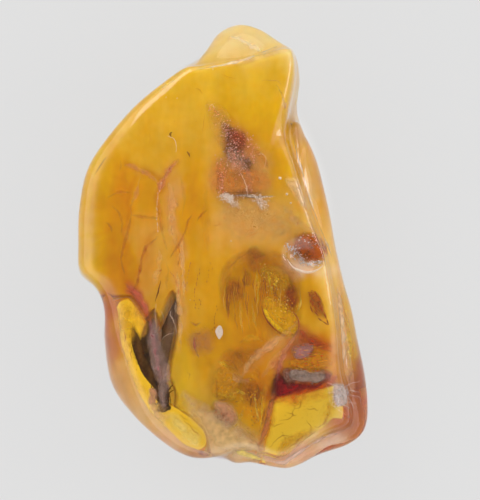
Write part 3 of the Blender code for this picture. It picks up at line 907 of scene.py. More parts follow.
def ball_directions(subdivisions, stretch, finer_above=2.0):
    """The corners and faces of a fine ball, with its corners pointing out from the middle.

    Faces that point up more than finer_above are split once more.
    """
    ball = bmesh.new()
    bmesh.ops.create_icosphere(ball, subdivisions=subdivisions, radius=1.0)
    edges = {edge for face in ball.faces if face.calc_center_median().z > finer_above for edge in face.edges}
    if edges:
        bmesh.ops.subdivide_edges(ball, edges=list(edges), cuts=1, use_grid_fill=True)
        bmesh.ops.triangulate(ball, faces=[face for face in ball.faces if len(face.verts) > 3])
    directions = np.array([v.co for v in ball.verts]) * np.array(stretch)
    faces = [[v.index for v in f.verts] for f in ball.faces]
    ball.free()
    return directions / np.linalg.norm(directions, axis=1)[:, None], faces


def cast_out(distance, heart, directions, reach=26.0, scan=52, halvings=22):
    """Where rays from the heart last leave the shape that a distance function describes."""
    heart = np.array(heart)
    inside = np.zeros(len(directions))
    for step in np.linspace(0.0, reach, scan):
        within = distance(heart + directions * step) < 0.0
        inside = np.where(within, step, inside)
    outside = inside + reach / (scan - 1)
    for _ in range(halvings):
        middle = 0.5 * (inside + outside)
        within = distance(heart + directions * middle[:, None]) < 0.0
        inside = np.where(within, middle, inside)
        outside = np.where(within, outside, middle)
    return heart + directions * inside[:, None]


# Both lumps are cast from balls split this many times and stretched like this
BALL_SPLITS = 7
BALL_STRETCH = (11.0, 17.0, 7.0)
CLOUD_HEART = (0.5, 4.0, 6.0)
# On the right side the cloud reaches close to the edge: from this x on, and fully a millimetre further
RIGHT_SIDE_FROM = 1.5
# The clear skin under the face grows thinner towards the sides over these depths, in mm
SKIN_THINS_FROM, SKIN_THINS_TO = 0.6, 1.6


def levelness_grid():
    """How level the front surface is, from 0 where it stands upright to 1 where it is level."""
    xs, ys, _ = FRONT
    level = front_facing(grid_places(xs, ys), GRID, UPRIGHT_SLOPE)[:, 2]
    return xs, ys, level.reshape(len(xs), len(ys))


LEVELNESS = levelness_grid()


def wide_front_grid():
    """The front surface's heights, each the highest near it, so that they reach over upright edges."""
    xs, ys, heights = FRONT
    padded = np.pad(heights, 1, mode="edge")
    rows, columns = heights.shape
    shifted = [padded[i : i + rows, j : j + columns] for i in range(3) for j in range(3)]
    return xs, ys, np.max(shifted, axis=0)


WIDE_FRONT = wide_front_grid()


def cloud_distance(points):
    """Distance outside the cloudy amber: the lump less a clear skin and less what is cut from its front."""
    cut = read_grid(CUT, points[:, :2])
    rightness = np.clip(points[:, 0] - RIGHT_SIDE_FROM, 0.0, 1.0)
    front = read_grid(FRONT, points[:, :2])
    front += rightness * (read_grid(WIDE_FRONT, points[:, :2]) - front)
    depth = front - points[:, 2]
    near_face = np.clip((SKIN_THINS_TO - depth) / (SKIN_THINS_TO - SKIN_THINS_FROM), 0.0, 1.0)
    skin = SIDE_DEPTH + (CLOUD_DEPTH - SIDE_DEPTH) * near_face
    # On the right the clear skin thins out where the front turns down to the edge
    steep = np.clip(1.6 * (1.0 - read_grid(LEVELNESS, points[:, :2])), 0.0, 1.0)
    skin = skin - (skin - THIN_SKIN) * steep * rightness
    cut_away = np.where(cut > 0.01, CLOUD_DEPTH + cut - depth, -9.0)
    return smooth_max(lump_distance(points) + skin, cut_away, 0.2)


def node_material(name):
    """A new material, its nodes and its main shader."""
    material = bpy.data.materials.new(name)
    material.use_nodes = True
    return material, material.node_tree, material.node_tree.nodes["Principled BSDF"]


def amber_material():
    """Clear golden amber: plain transmission, with the colour taken up inside it."""
    material, tree, shader = node_material("clear_amber")
    shader.inputs["Base Color"].default_value = (1.0, 1.0, 1.0, 1.0)
    shader.inputs["Roughness"].default_value = 0.02
    shader.inputs["IOR"].default_value = 1.54
    shader.inputs["Transmission Weight"].default_value = 1.0
    absorb = tree.nodes.new("ShaderNodeVolumeAbsorption")
    absorb.inputs["Color"].default_value = (*AMBER_TINT, 1.0)
    absorb.inputs["Density"].default_value = AMBER_DENSITY
    tree.links.new(absorb.outputs[0], tree.nodes["Material Output"].inputs["Volume"])
    return material


def map_range(tree, value, before, after, eased_ends=False):
    """A node that turns values from one range into another, and its result."""
    node = tree.nodes.new("ShaderNodeMapRange")
    if eased_ends:
        node.interpolation_type = "SMOOTHSTEP"
    for name, number in zip(("From Min", "From Max", "To Min", "To Max"), (*before, *after)):
        node.inputs[name].default_value = number
    tree.links.new(value, node.inputs["Value"])
    return node.outputs["Result"]


def mapped(tree, scale):
    """Places on the object, each axis stretched by its scale."""
    place = tree.nodes.new("ShaderNodeTexCoord")
    stretched = tree.nodes.new("ShaderNodeMapping")
    stretched.inputs["Scale"].default_value = scale
    tree.links.new(place.outputs["Object"], stretched.inputs["Vector"])
    return stretched.outputs["Vector"]


def mottled(tree, colour, scale, low, high, detail=4.0, stretch=(1.0, 1.0, 1.0)):
    """The colour, made darker and lighter in patches of noise, with the scale in features per millimetre."""
    texture = tree.nodes.new("ShaderNodeTexNoise")
    texture.inputs["Scale"].default_value = scale / MM
    texture.inputs["Detail"].default_value = detail
    tree.links.new(mapped(tree, stretch), texture.inputs["Vector"])
    shade = tree.nodes.new("ShaderNodeVectorMath")
    shade.operation = "SCALE"
    tree.links.new(colour, shade.inputs[0])
    tree.links.new(map_range(tree, texture.outputs["Fac"], (0.3, 0.7), (low, high)), shade.inputs["Scale"])
    return shade.outputs[0]


def tint_of(tree):
    """The colour that each corner carries."""
    tint = tree.nodes.new("ShaderNodeVertexColor")
    tint.layer_name = "tint"
    return tint.outputs["Color"]


def cloud_material():
    """Cloudy amber: soft patches, faint upright curtains, and light that spreads a little inside it."""
    material, tree, shader = node_material("cloudy_amber")
    colour = mottled(tree, tint_of(tree), 0.5, 0.94, 1.05, detail=3.0)
    colour = mottled(tree, colour, 1.4, 0.95, 1.04, detail=5.0, stretch=(1.0, 0.2, 1.0))
    tree.links.new(colour, shader.inputs["Base Color"])
    shader.inputs["Roughness"].default_value = 0.7
    shader.inputs["Specular IOR Level"].default_value = 0.0
    shader.inputs["Subsurface Weight"].default_value = 0.3
    shader.inputs["Subsurface Radius"].default_value = (1.0, 0.5, 0.15)
    shader.inputs["Subsurface Scale"].default_value = 0.0006
    return material


def flaw_material(name, roughness, specular, low=0.85, high=1.12):
    """Veins, cracks and specks: matt or silky, mottled finely."""
    material, tree, shader = node_material(name)
    tree.links.new(mottled(tree, tint_of(tree), 6.0, low, high), shader.inputs["Base Color"])
    shader.inputs["Roughness"].default_value = roughness
    shader.inputs["Specular IOR Level"].default_value = specular
    return material


def veil_and_highlight_material():
    """A thin haze inside the amber, seen through where its cover is low, that also carries the painted
    highlights.
    """
    material, tree, shader = node_material("veil_and_highlight")
    tree.links.new(tint_of(tree), shader.inputs["Base Color"])
    cover = tree.nodes.new("ShaderNodeAttribute")
    cover.attribute_name = "cover"
    patchy = mottled(tree, cover.outputs["Vector"], 1.9, 0.45, 1.25, detail=6.0)
    amount = tree.nodes.new("ShaderNodeSeparateXYZ")
    tree.links.new(patchy, amount.inputs[0])
    tree.links.new(amount.outputs["X"], shader.inputs["Alpha"])
    shader.inputs["Roughness"].default_value = 0.6
    shader.inputs["Specular IOR Level"].default_value = 0.1
    return material


# How deep flaws lie under the face, in mm
HAIR_DEPTH = 0.14
WHITE_DEPTH = 0.1
GROOVE_DEPTH = 0.13
SEAM_DEPTH = 0.16
WINDOW_DEPTH = 0.4


def seen(rgb, depth=0.2):
    """The own colour of a flaw that should show in this screen colour from this deep."""
    return own_colours(np.array([linear(rgb)]), np.array([depth]))[0]


VEIN = (150, 72, 34)
PINK = (206, 118, 84)
PALE = (250, 226, 196)
# Soft lines and streaks just under the surface, some of them painted highlights and a painted glint along
# ridges and edges: marks in the picture, half-width in pixels, colour, cover
BANDS = (
    # veins of the left lobe
    (((124, 165), (132, 166), (140, 170), (148, 174), (155, 180), (160, 186)), 3.1, PINK, 0.47),
    (((179, 159), (174, 164), (168, 171), (164, 179), (160, 187), (158, 196)), 3.6, PINK, 0.57),
    (((177, 161), (171, 167), (166, 174), (162, 183)), 1.7, VEIN, 0.57),
    (((140, 178), (138, 186), (135, 196), (131, 206), (131, 215)), 2.6, PINK, 0.43),
    (((131, 215), (140, 216), (150, 218), (158, 218)), 2.1, VEIN, 0.47),
    (((131, 215), (129, 226), (126, 238), (122, 252), (121, 262), (124, 274)), 2.2, VEIN, 0.57),
    (((158, 236), (152, 242), (146, 247), (142, 256), (140, 268), (137, 282), (133, 291)), 2.3, VEIN, 0.71),
    (((107, 198), (114, 194), (121, 192), (130, 193)), 2.0, (168, 96, 20), 0.47),
    (((112, 206), (118, 212), (122, 222), (121, 234)), 1.7, (168, 92, 20), 0.33),
    (((106, 222), (110, 226), (112, 232)), 1.6, (160, 88, 20), 0.38),
    (((192, 215), (188, 221), (186, 229), (181, 240), (175, 250), (170, 258)), 1.8, VEIN, 0.57),
    (((157, 206), (160, 222), (164, 240), (167, 250)), 1.6, VEIN, 0.28),
    (((196, 222), (202, 214), (208, 209)), 1.3, VEIN, 0.43),
    (((180, 176), (183, 190), (184, 204), (182, 216)), 1.8, VEIN, 0.19),
    (((166, 262), (168, 272), (166, 284), (170, 296)), 1.8, VEIN, 0.24),
    # the pink fold that runs to the moth
    (((125, 284), (131, 288), (137, 295), (143, 304), (148, 314), (151, 326)), 4.0, (190, 92, 76), 0.62),
    (((126, 290), (132, 294), (138, 302), (143, 311)), 1.8, (140, 60, 46), 0.5),
    (((150, 320), (152, 334), (155, 350), (158, 366), (161, 384)), 3.0, (176, 112, 116), 0.6),
    # upright folds of the middle
    (((159, 197), (159, 212), (160, 230)), 2.2, (206, 122, 20), 0.6),
    (((168, 182), (172, 200), (172, 226), (176, 246)), 5.0, (232, 160, 100), 0.5),
    (((182, 238), (182, 254), (183, 272), (184, 300)), 3.0, (240, 176, 112), 0.6),
    (((179, 242), (179, 256), (178, 266)), 1.6, (206, 118, 20), 0.6),
    (((160, 250), (158, 268), (154, 286)), 4.0, (232, 170, 96), 0.45),
    (((177, 272), (178, 296), (180, 322), (180, 350)), 3.2, (236, 170, 104), 0.6),
    (((206, 190), (205, 220), (208, 250)), 5.0, (204, 126, 20), 0.3),
    (((219, 170), (218, 182), (218, 194)), 2.4, (196, 106, 20), 0.5),
    # purple marks right of the moth
    (((190, 322), (196, 325), (201, 322)), 1.3, (150, 86, 50), 0.6),
    (((194, 336), (195, 348), (199, 358)), 1.6, (146, 88, 80), 0.7),
    (((191, 334), (201, 334)), 1.2, (150, 90, 60), 0.5),
    # painted highlights: pale glints on the cap, along the top ridge and on the edges, with a darker line
    # beside them
    (((229, 36), (238, 38), (250, 44), (262, 50)), 3.4, (255, 236, 190), 0.6),
    (((196, 68), (216, 65), (240, 60), (264, 52), (284, 46), (292, 50)), 1.5, (255, 238, 206), 0.9),
    (((283, 104), (290, 108), (296, 116)), 4.0, (250, 206, 160), 0.6),
    (((276, 84), (281, 92), (285, 104), (286, 118)), 1.3, (206, 150, 60), 0.4),
    (((160, 88), (166, 84), (174, 80)), 2.4, (250, 206, 130), 0.6),
    # the groove
    (((224, 124), (230, 132), (238, 140), (246, 148)), 5.0, (170, 76, 44), 0.4),
    (((218, 164), (220, 178), (222, 192)), 3.0, (196, 96, 60), 0.4),
    (((240, 158), (246, 168), (250, 180), (250, 194)), 3.4, (216, 128, 90), 0.4),
    (((252, 148), (262, 156), (268, 168)), 3.0, (186, 92, 40), 0.35),
    (((222, 196), (240, 195), (258, 197), (274, 196)), 1.8, (240, 196, 170), 0.7),
    (((222, 193), (240, 192), (262, 193)), 1.3, (160, 76, 30), 0.5),
    # between the groove and the pit
    (((224, 210), (250, 214), (276, 224), (292, 236)), 9.0, (255, 178, 88), 0.36),
    (((284, 206), (296, 220), (310, 230)), 5.0, (226, 156, 100), 0.4),
    # right ridge: painted highlights along the ridge and a pale painted highlight band below it, then yellow
    # bands
    (((294, 138), (298, 155), (303, 172), (308, 188), (313, 205), (319, 222)), 1.1, (255, 228, 190), 0.85),
    (((319, 222), (325, 238), (331, 250), (336, 264), (340, 280), (344, 296)), 1.3, (255, 222, 176), 0.85),
    (((338, 286), (341, 304), (343, 330), (344, 352), (342, 374)), 3.6, (252, 206, 148), 0.7),
    (((346, 300), (349, 320), (351, 344), (351, 366)), 3.2, (236, 184, 30), 0.7),
    (((355, 318), (359, 340), (361, 360)), 1.8, (246, 214, 110), 0.5),
    # disc
    (((265, 308), (269, 317), (276, 325), (286, 333)), 2.6, (255, 190, 24), 0.6),
    (((272, 312), (280, 320), (290, 326)), 2.4, (240, 170, 40), 0.5),
    (((257, 272), (258, 286), (258, 302)), 1.5, (236, 184, 40), 0.7),
    (((268, 271), (270, 282), (273, 296)), 1.4, (240, 190, 50), 0.65),
    (((276, 274), (277, 288)), 1.3, (236, 180, 50), 0.5),
    (((263, 276), (264, 292), (266, 304)), 1.4, (150, 96, 20), 0.5),
    (((272, 286), (276, 294), (280, 300)), 1.4, (140, 84, 20), 0.5),
    (((227, 282), (226, 298), (228, 322)), 1.3, (156, 98, 36), 0.55),
    (((230, 268), (238, 259), (250, 252)), 1.6, (176, 108, 44), 0.45),
    (((234, 300), (235, 316), (238, 330)), 1.5, (176, 112, 30), 0.4),
    (((246, 290), (247, 310), (250, 330)), 1.5, (182, 116, 30), 0.4),
    (((240, 302), (241, 318), (243, 334)), 1.5, (232, 178, 70), 0.4),
    (((252, 300), (254, 318), (258, 332)), 1.5, (232, 172, 60), 0.4),
    (((300, 290), (301, 302), (298, 312)), 1.2, (240, 176, 70), 0.6),
    # below the disc: golden patches, brown bits and glitter
    (((218, 362), (226, 366), (232, 374)), 3.0, (238, 178, 44), 0.5),
    (((216, 393), (226, 396), (236, 397)), 3.0, (236, 176, 44), 0.5),
    (((234, 351), (240, 357), (247, 366)), 2.8, (150, 92, 16), 0.5),
    (((222, 360), (232, 362), (238, 371)), 1.3, (150, 92, 16), 0.5),
    (((216, 378), (217, 390), (217, 399)), 1.2, (150, 96, 20), 0.6),
    (((217, 400), (226, 400), (236, 399)), 1.2, (160, 104, 34), 0.5),
    (((250, 366), (257, 371), (260, 380)), 3.0, (166, 104, 40), 0.5),
    (((254, 392), (256, 406), (259, 422)), 1.3, (244, 196, 76), 0.7),
    (((262, 396), (262, 412), (261, 428)), 1.4, (238, 184, 54), 0.6),
    (((248, 389), (251, 398), (250, 408)), 1.4, (112, 66, 20), 0.6),
    (((257, 384), (259, 392), (257, 402)), 1.6, (116, 70, 20), 0.6),
    (((265, 408), (263, 420), (260, 432)), 1.2, (120, 70, 30), 0.6),
    (((240, 428), (250, 436), (258, 446)), 3.0, (200, 136, 64), 0.45),
    (((228, 434), (238, 422), (244, 408)), 3.0, (232, 168, 66), 0.45),
    (((266, 384), (262, 400), (256, 424)), 4.0, (210, 140, 44), 0.4),
    (((240, 342), (252, 338), (264, 342)), 3.0, (220, 150, 40), 0.4),
    # bands below the disc
    (((297, 322), (288, 332), (274, 343), (260, 353), (248, 366), (242, 378)), 4.6, (226, 160, 104), 0.6),
    (((296, 338), (284, 350), (272, 364), (262, 378)), 4.0, (214, 136, 84), 0.5),
    (((232, 374), (240, 380), (250, 382)), 5.0, (214, 146, 104), 0.5),
    (((299, 330), (290, 344), (283, 356), (279, 370), (276, 384)), 3.0, (196, 112, 92), 0.7),
    (((300, 330), (306, 336), (313, 342), (322, 347), (333, 352)), 3.4, (160, 70, 48), 0.65),
    (((284, 352), (290, 344), (294, 336)), 1.5, (236, 176, 70), 0.7),
    (((276, 384), (272, 402), (267, 424), (262, 440), (257, 450)), 3.4, (176, 100, 66), 0.8),
    (((271, 400), (267, 420), (262, 438)), 1.3, (116, 54, 34), 0.6),
    (((226, 396), (238, 392), (250, 396)), 2.0, (230, 180, 60), 0.5),
    # the bottom, with a painted bright yellow glint at the edge and a painted highlight along the face's
    # lower edge
    (((186, 396), (206, 410), (232, 428), (262, 446)), 7.0, (214, 166, 126), 0.4),
    (((196, 452), (212, 458), (236, 462)), 3.0, (150, 104, 96), 0.6),
    (((236, 452), (248, 456), (262, 461)), 3.0, (255, 224, 70), 0.9),
    (((266, 461), (284, 464), (300, 452), (318, 441), (338, 434)), 2.6, (238, 190, 168), 0.75),
    (((276, 456), (290, 452), (304, 442)), 3.0, (206, 128, 96), 0.6),
)

# Soft patches: outline in the picture, depth in mm, colour, cover, and how soft the edge is in pixels
STAINS = (
    # hazes over the moth and across the bottom, and a painted highlight on the pale facet by the right ridge
    (((148, 322), (152, 316), (156, 318), (161, 336), (167, 352), (170, 376), (169, 400), (164, 412),
     (159, 400),
      (155, 380), (150, 356), (146, 336)), 0.4, (156, 132, 128), 0.42, 4.0),
    (((186, 392), (206, 404), (230, 420), (256, 434), (270, 448), (262, 460), (226, 456), (206, 440),
     (196, 424),
      (184, 408)), 0.35, (252, 198, 122), 0.6, 13.0),
    (((286, 180), (295, 177), (302, 188), (308, 206), (301, 208), (294, 196)), 0.15, (250, 200, 130),
     0.5, 5.0),
    # disc
    (((222, 284), (228, 264), (246, 254), (270, 254), (290, 262), (298, 284), (292, 296), (282, 278),
     (262, 268),
      (244, 272), (232, 290), (226, 310)), 0.4, (192, 122, 54), 0.4, 10.0),
    (((230, 280), (237, 278), (243, 286), (243, 296), (236, 300), (230, 292)), 0.3, (138, 76, 28), 0.55, 8.0),
    (((250, 250), (257, 249), (262, 257), (259, 268), (253, 270), (249, 262)), 0.3, (148, 82, 44), 0.5, 7.0),
    (((243, 268), (249, 270), (252, 280), (247, 285), (243, 279)), 0.3, (146, 82, 36), 0.45, 5.0),
    (((286, 284), (292, 284), (297, 292), (299, 302), (295, 310), (289, 304), (286, 296)), 0.3, (124, 58, 8),
     0.7,
     6.0),
    (((262, 268), (276, 266), (288, 276), (292, 292), (280, 290), (268, 284)), 0.3, (176, 124, 40), 0.5, 5.0),
    (((263, 300), (280, 302), (296, 314), (298, 328), (286, 336), (272, 326)), 0.5, (255, 170, 16), 0.6, 6.0),
    # groove and pit
    (((224, 122), (236, 124), (250, 138), (262, 156), (264, 172), (248, 166), (236, 156), (226, 146)), 0.2,
     (220, 126, 80), 0.3, 11.0),
    (((231, 131), (241, 132), (245, 142), (239, 151), (230, 146)), 0.18, (158, 66, 46), 0.5, 7.0),
    (((228, 150), (240, 152), (248, 162), (240, 172), (228, 168)), 0.18, (255, 160, 112), 0.65, 8.0),
    (((216, 158), (240, 162), (264, 172), (270, 190), (240, 194), (216, 192)), 0.18, (222, 128, 60),
     0.42, 11.0),
    (((206, 104), (218, 106), (228, 120), (224, 150), (216, 140), (210, 120)), 0.18, (232, 160, 70),
     0.35, 8.0),
    (((226, 200), (262, 198), (292, 212), (290, 236), (250, 240), (224, 226)), 0.2, (255, 180, 88),
     0.3, 16.0),
    (((296, 236), (312, 234), (324, 244), (325, 258), (312, 263), (298, 257)), 0.14, (176, 84, 36),
     0.75, 7.0),
    # below the middle
    (((188, 334), (204, 330), (214, 340), (208, 352), (192, 352)), 0.2, (176, 116, 72), 0.34, 9.0),
    (((215, 402), (224, 399), (233, 407), (236, 419), (227, 424), (217, 416)), 0.3, (206, 142, 104),
     0.7, 7.0),
    (((242, 384), (252, 382), (260, 390), (258, 404), (248, 404), (242, 396)), 0.3, (160, 98, 16), 0.45, 9.0),
    (((226, 350), (244, 346), (256, 350), (250, 360), (238, 368), (226, 362)), 0.3, (176, 108, 34),
     0.35, 8.0),
    (((216, 372), (234, 368), (240, 384), (232, 398), (214, 394)), 0.3, (206, 136, 20), 0.45, 6.0),
    # right of the disc and the lower right
    (((308, 293), (316, 292), (322, 304), (327, 322), (318, 318), (311, 308)), 0.22, (158, 86, 44), 0.6, 3.0),
    (((276, 376), (292, 380), (308, 382), (324, 376), (334, 374), (332, 384), (320, 392), (304, 398),
     (286, 402),
      (272, 400)), 0.36, (206, 84, 8), 0.75, 8.0),
    (((277, 379), (292, 383), (308, 384), (322, 379), (318, 387), (304, 392), (288, 395), (275, 393)), 0.3,
     (120, 12, 2), 0.98, 4.0),
    (((276, 372), (283, 376), (283, 390), (276, 396), (272, 386)), 0.26, (120, 40, 34), 0.65, 5.0),
    (((291, 371), (306, 369), (322, 370), (323, 380), (306, 383), (292, 381)), 0.2, (152, 130, 112),
     0.9, 3.0),
    (((283, 370), (293, 370), (294, 381), (285, 382)), 0.2, (128, 84, 66), 0.65, 4.0),
    (((321, 371), (330, 372), (329, 380), (321, 381)), 0.22, (124, 62, 50), 0.6, 4.0),
    (((292, 346), (302, 343), (312, 346), (308, 356), (296, 357)), 0.2, (162, 112, 104), 0.8, 5.0),
    (((296, 332), (314, 336), (332, 346), (330, 352), (310, 350), (298, 344)), 0.24, (176, 78, 36), 0.5, 6.0),
    (((292, 358), (316, 354), (332, 360), (326, 368), (296, 368)), 0.24, (224, 132, 20), 0.6, 6.0),
    (((333, 386), (343, 384), (348, 394), (344, 405), (334, 405)), 0.16, (204, 176, 158), 0.85, 4.0),
    (((268, 398), (276, 398), (272, 430), (262, 452), (258, 448), (264, 424)), 0.5, (214, 130, 14), 0.6, 6.0),
    (((272, 398), (300, 396), (330, 388), (332, 396), (300, 404), (274, 406)), 0.5, (224, 140, 10),
     0.55, 7.0),
    (((282, 440), (300, 432), (314, 428), (312, 438), (296, 450), (280, 454)), 0.5, (196, 130, 24), 0.5, 7.0),
    (((322, 400), (332, 398), (334, 412), (328, 424), (320, 420)), 0.5, (222, 150, 20), 0.45, 7.0),
    (((119, 300), (130, 302), (136, 322), (134, 344), (126, 348), (119, 324)), 0.5, (222, 150, 30), 0.5, 7.0),
    (((122, 340), (130, 344), (140, 372), (150, 396), (140, 392), (130, 372)), 0.5, (214, 140, 30), 0.4, 8.0),
    (((168, 415), (180, 416), (196, 431), (200, 442), (190, 444), (176, 432)), 0.5, (255, 222, 110),
     0.5, 7.0),
    (((130, 296), (140, 304), (146, 318), (147, 332), (141, 337), (135, 322), (129, 308)),
     0.4, (216, 138, 60), 0.5,
     6.0),
    (((165, 306), (171, 297), (177, 306), (177, 330), (172, 350), (167, 354), (163, 338)),
     0.4, (150, 118, 100), 0.13,
     3.0),
    (((150, 398), (160, 402), (168, 412), (168, 424), (162, 430), (154, 414)), 0.4, (224, 166, 100),
     0.65, 6.0),
    (((148, 390), (155, 389), (158, 398), (155, 405), (149, 402)), 0.4, (196, 134, 100), 0.8, 3.0),
)
DARK_HAIRS = (
    (((161, 281), (159, 288), (157, 295), (155, 302)), 0.05, (92, 54, 22)),
    (((106, 157), (102, 162), (98, 168), (94, 174)), 0.05, (150, 110, 20)),
    (((172, 132), (170, 134), (171, 137)), 0.09, (116, 90, 20)),
    (((187, 151), (189, 154), (190, 157)), 0.07, (130, 88, 30)),
    (((292, 118), (293, 121), (292, 124)), 0.05, (110, 96, 70)),
    (((120, 160), (121, 166), (119, 171)), 0.03, (170, 120, 30)),
    (((196, 88), (200, 90), (202, 94)), 0.025, (184, 122, 36)),
    (((222, 74), (229, 77), (236, 78)), 0.02, (196, 136, 40)),
    (((262, 80), (270, 80), (278, 81), (283, 86)), 0.025, (200, 146, 60)),
    (((149, 132), (150, 139), (148, 146)), 0.02, (196, 128, 40)),
    (((204, 114), (204, 122), (203, 132)), 0.02, (200, 132, 40)),
    (((214, 226), (220, 224), (218, 221)), 0.025, (160, 98, 45)),
    (((245, 236), (252, 235), (258, 232), (264, 231)), 0.02, (176, 110, 56)),
    (((306, 226), (312, 228), (319, 227)), 0.025, (180, 114, 66)),
    (((159, 271), (162, 270)), 0.05, (140, 84, 30)),
    (((124, 333), (125, 338), (124, 342)), 0.04, (130, 80, 20)),
    (((187, 372), (190, 375), (188, 380)), 0.025, (150, 104, 24)),
)
WHITE_HAIRS = (
    (((168, 136), (173, 138), (176, 144), (176, 152)), 0.02),
    (((215, 108), (212, 104), (209, 107)), 0.015),
    (((240, 172), (244, 180), (247, 190), (248, 197)), 0.025),
    (((260, 152), (266, 158), (264, 168)), 0.012),
    # fibres over the moth's wings
    (((176, 303), (175, 308), (176, 312)), 0.02),
    (((171, 311), (170, 315), (173, 320), (175, 326), (177, 333)), 0.022),
    (((175, 334), (169, 334), (164, 337), (162, 340)), 0.015),
    (((156, 304), (155, 314), (156, 324), (156, 334)), 0.015),
    (((158, 326), (161, 331), (160, 336)), 0.012),
    (((160, 310), (163, 316), (164, 324)), 0.01),
)
LOOPS = (
    (((200, 268), (198, 278), (195, 288), (194, 298), (196, 308), (200, 306), (200, 296)), 16, (140, 80, 50)),
    (((190, 262), (188, 276), (186, 292)), 8, (160, 100, 60)),
    (((217, 306), (215, 318), (213, 332)), 8, (110, 64, 34)),
    (((212, 262), (209, 272), (206, 282)), 7, (160, 96, 44)),
    (((170, 270), (176, 282), (178, 296)), 5, (160, 100, 60)),
    (((230, 206), (226, 212), (222, 220)), 4, (170, 104, 60)),
)


def add_bands():
    """Veins, folds and soft patches, and the painted highlights, which fade out at their edges."""
    batch = Batch()
    for number, (marks, width, colour, cover) in enumerate(BANDS):
        # Each ribbon lies a little deeper than the one before, so that none share a surface
        points, faces, share = soft_band(marks, 0.15 + 0.0008 * number, width, number)
        batch.add((points, faces), seen(colour, 0.15), cover * share)
    for outline, depth, colour, cover, soft in STAINS:
        wider = grown(outline, 0.5 * soft)
        points, faces = plate(wider, depth, 0.03, 0.12, 0.3)
        share = edge_share(wider, points, 1.4 * soft)
        batch.add((points, faces), seen(colour, depth), cover * share)
    batch.make("veils_and_painted_highlights", veil_and_highlight_material())


def add_dark_flaws():
    """Dark hairs and broken dotted lines just under the front surface."""
    batch = Batch()
    for number, (marks, width, colour) in enumerate(DARK_HAIRS):
        widths = (0.3 * width, width, 0.2 * width)
        batch.add(strand(marks, HAIR_DEPTH, widths, 0.6, 0.3, 40 + number), seen(colour))
    for number, (marks, count, colour) in enumerate(LOOPS):
        for shape in dashes(marks, HAIR_DEPTH, 0.035, count, 0.6, 0.7, number):
            batch.add(shape, seen(colour))
    chance = np.random.default_rng(31)
    for spot in chance.uniform((100, 110), (330, 380), (60, 2)):
        size = chance.uniform(0.012, 0.03)
        batch.add(crumb_cloud([spot], HAIR_DEPTH, [size], int(spot[0] * 9)), seen(VEIN))
    batch.make("dark_flaws", flaw_material("dark_flaw", 0.6, 0.2))


# Pale dotted lines: marks in the picture, half-width in mm, how many dashes, how full, wander, colour
PALE_DASHES = (
    (((162, 182), (158, 194), (157, 206), (157, 222), (158, 233)), 0.04, 18, 0.6, 0.4, PALE),
    (((160, 184), (168, 172), (176, 163)), 0.025, 12, 0.4, 0.5, (226, 160, 130)),
)
# Crumbs along the groove: a line in the picture, how far they spread from it, and how many
GROOVE_CRUMBS = (
    (((208, 106), (216, 114), (224, 124), (228, 134)), (2.4, 2.2), 90),
    (((226, 128), (231, 138), (233, 148), (229, 160)), (3.6, 2.6), 240),
    (((236, 130), (246, 138), (256, 148)), (3.4, 3.4), 70),
    (((226, 150), (234, 158), (244, 160), (254, 158)), (4.6, 4.2), 200),
    (((219, 160), (223, 172), (221, 184), (220, 196)), (2.6, 2.4), 130),
    (((236, 164), (244, 176), (248, 190)), (4.0, 4.0), 70),
    (((223, 196), (229, 199), (236, 205)), (2.4, 1.8), 330),
    (((254, 197), (262, 201), (265, 207)), (2.6, 2.2), 240),
    (((222, 196), (250, 196), (272, 197)), (3.0, 0.8), 90),
)
# The first lines have pink and pale crumbs, and those after them only pale ones
PINK_LINES = 6
PINK_CRUMBS = ((236, 168, 146), (246, 206, 184), (214, 130, 108))
PALE_CRUMB = (250, 226, 200)
# Single bright specks: place in the picture and size in mm
SPECKS = (
    ((280, 178), 0.1), ((287, 194), 0.08), ((291, 203), 0.1), ((231, 241), 0.05), ((177, 98), 0.04),
    ((166, 97), 0.04), ((213, 69), 0.04), ((190, 300), 0.03),
)
# Crusts at the ends of the groove, and the pale bead right of the moth
CRUSTS = (
    ((222, 196), (229, 195), (233, 197), (228, 200)),
    ((261, 204), (265, 203), (264, 208)),
)
BEAD = ((219, 325), (222, 329), (222, 335), (219, 339), (216, 335), (216, 329))


def add_groove_crumbs(batch):
    """Crumbs along the groove, in three colours for each of its lines."""
    for number, (line, spread, count) in enumerate(GROOVE_CRUMBS):
        spots = scatter(line, spread, count, 80 + number)
        sizes = np.random.default_rng(90 + number).uniform(0.012, 0.045, count)
        colours = PINK_CRUMBS if number < PINK_LINES else (PALE_CRUMB,) * 3
        for share, colour in enumerate(colours):
            seed = 100 + number * 3 + share
            shape = crumb_cloud(spots[share::3], GROOVE_DEPTH, sizes[share::3], seed)
            batch.add(shape, seen(colour, WHITE_DEPTH))


def add_pale_flaws():
    """White hairs, dashes, crumbs along the groove, and small bright specks."""
    batch = Batch()
    for number, (marks, width) in enumerate(WHITE_HAIRS):
        widths = (0.5 * width, width, 0.4 * width)
        batch.add(strand(marks, WHITE_DEPTH, widths, 0.7, 0.3, 60 + number), seen(PALE, WHITE_DEPTH))
    for number, (marks, width, count, fill, wander, colour) in enumerate(PALE_DASHES):
        for shape in dashes(marks, WHITE_DEPTH, width, count, fill, wander, 5 + number):
            batch.add(shape, seen(colour, WHITE_DEPTH))
    add_groove_crumbs(batch)
    for spot, size in SPECKS:
        batch.add(crumb_cloud([spot], 0.12, [size], int(spot[0])), seen(PALE, WHITE_DEPTH))
    for outline in CRUSTS:
        batch.add(plate(outline, 0.12, 0.08, 0.05, 0.12, 0.35), seen((246, 214, 184), WHITE_DEPTH))
    batch.add(plate(BEAD, 0.15, 0.2, 0.05, 0.2, 0.08), seen((226, 210, 190), WHITE_DEPTH))
    batch.make("pale_flaws", flaw_material("pale_flaw", 0.45, 0.4))


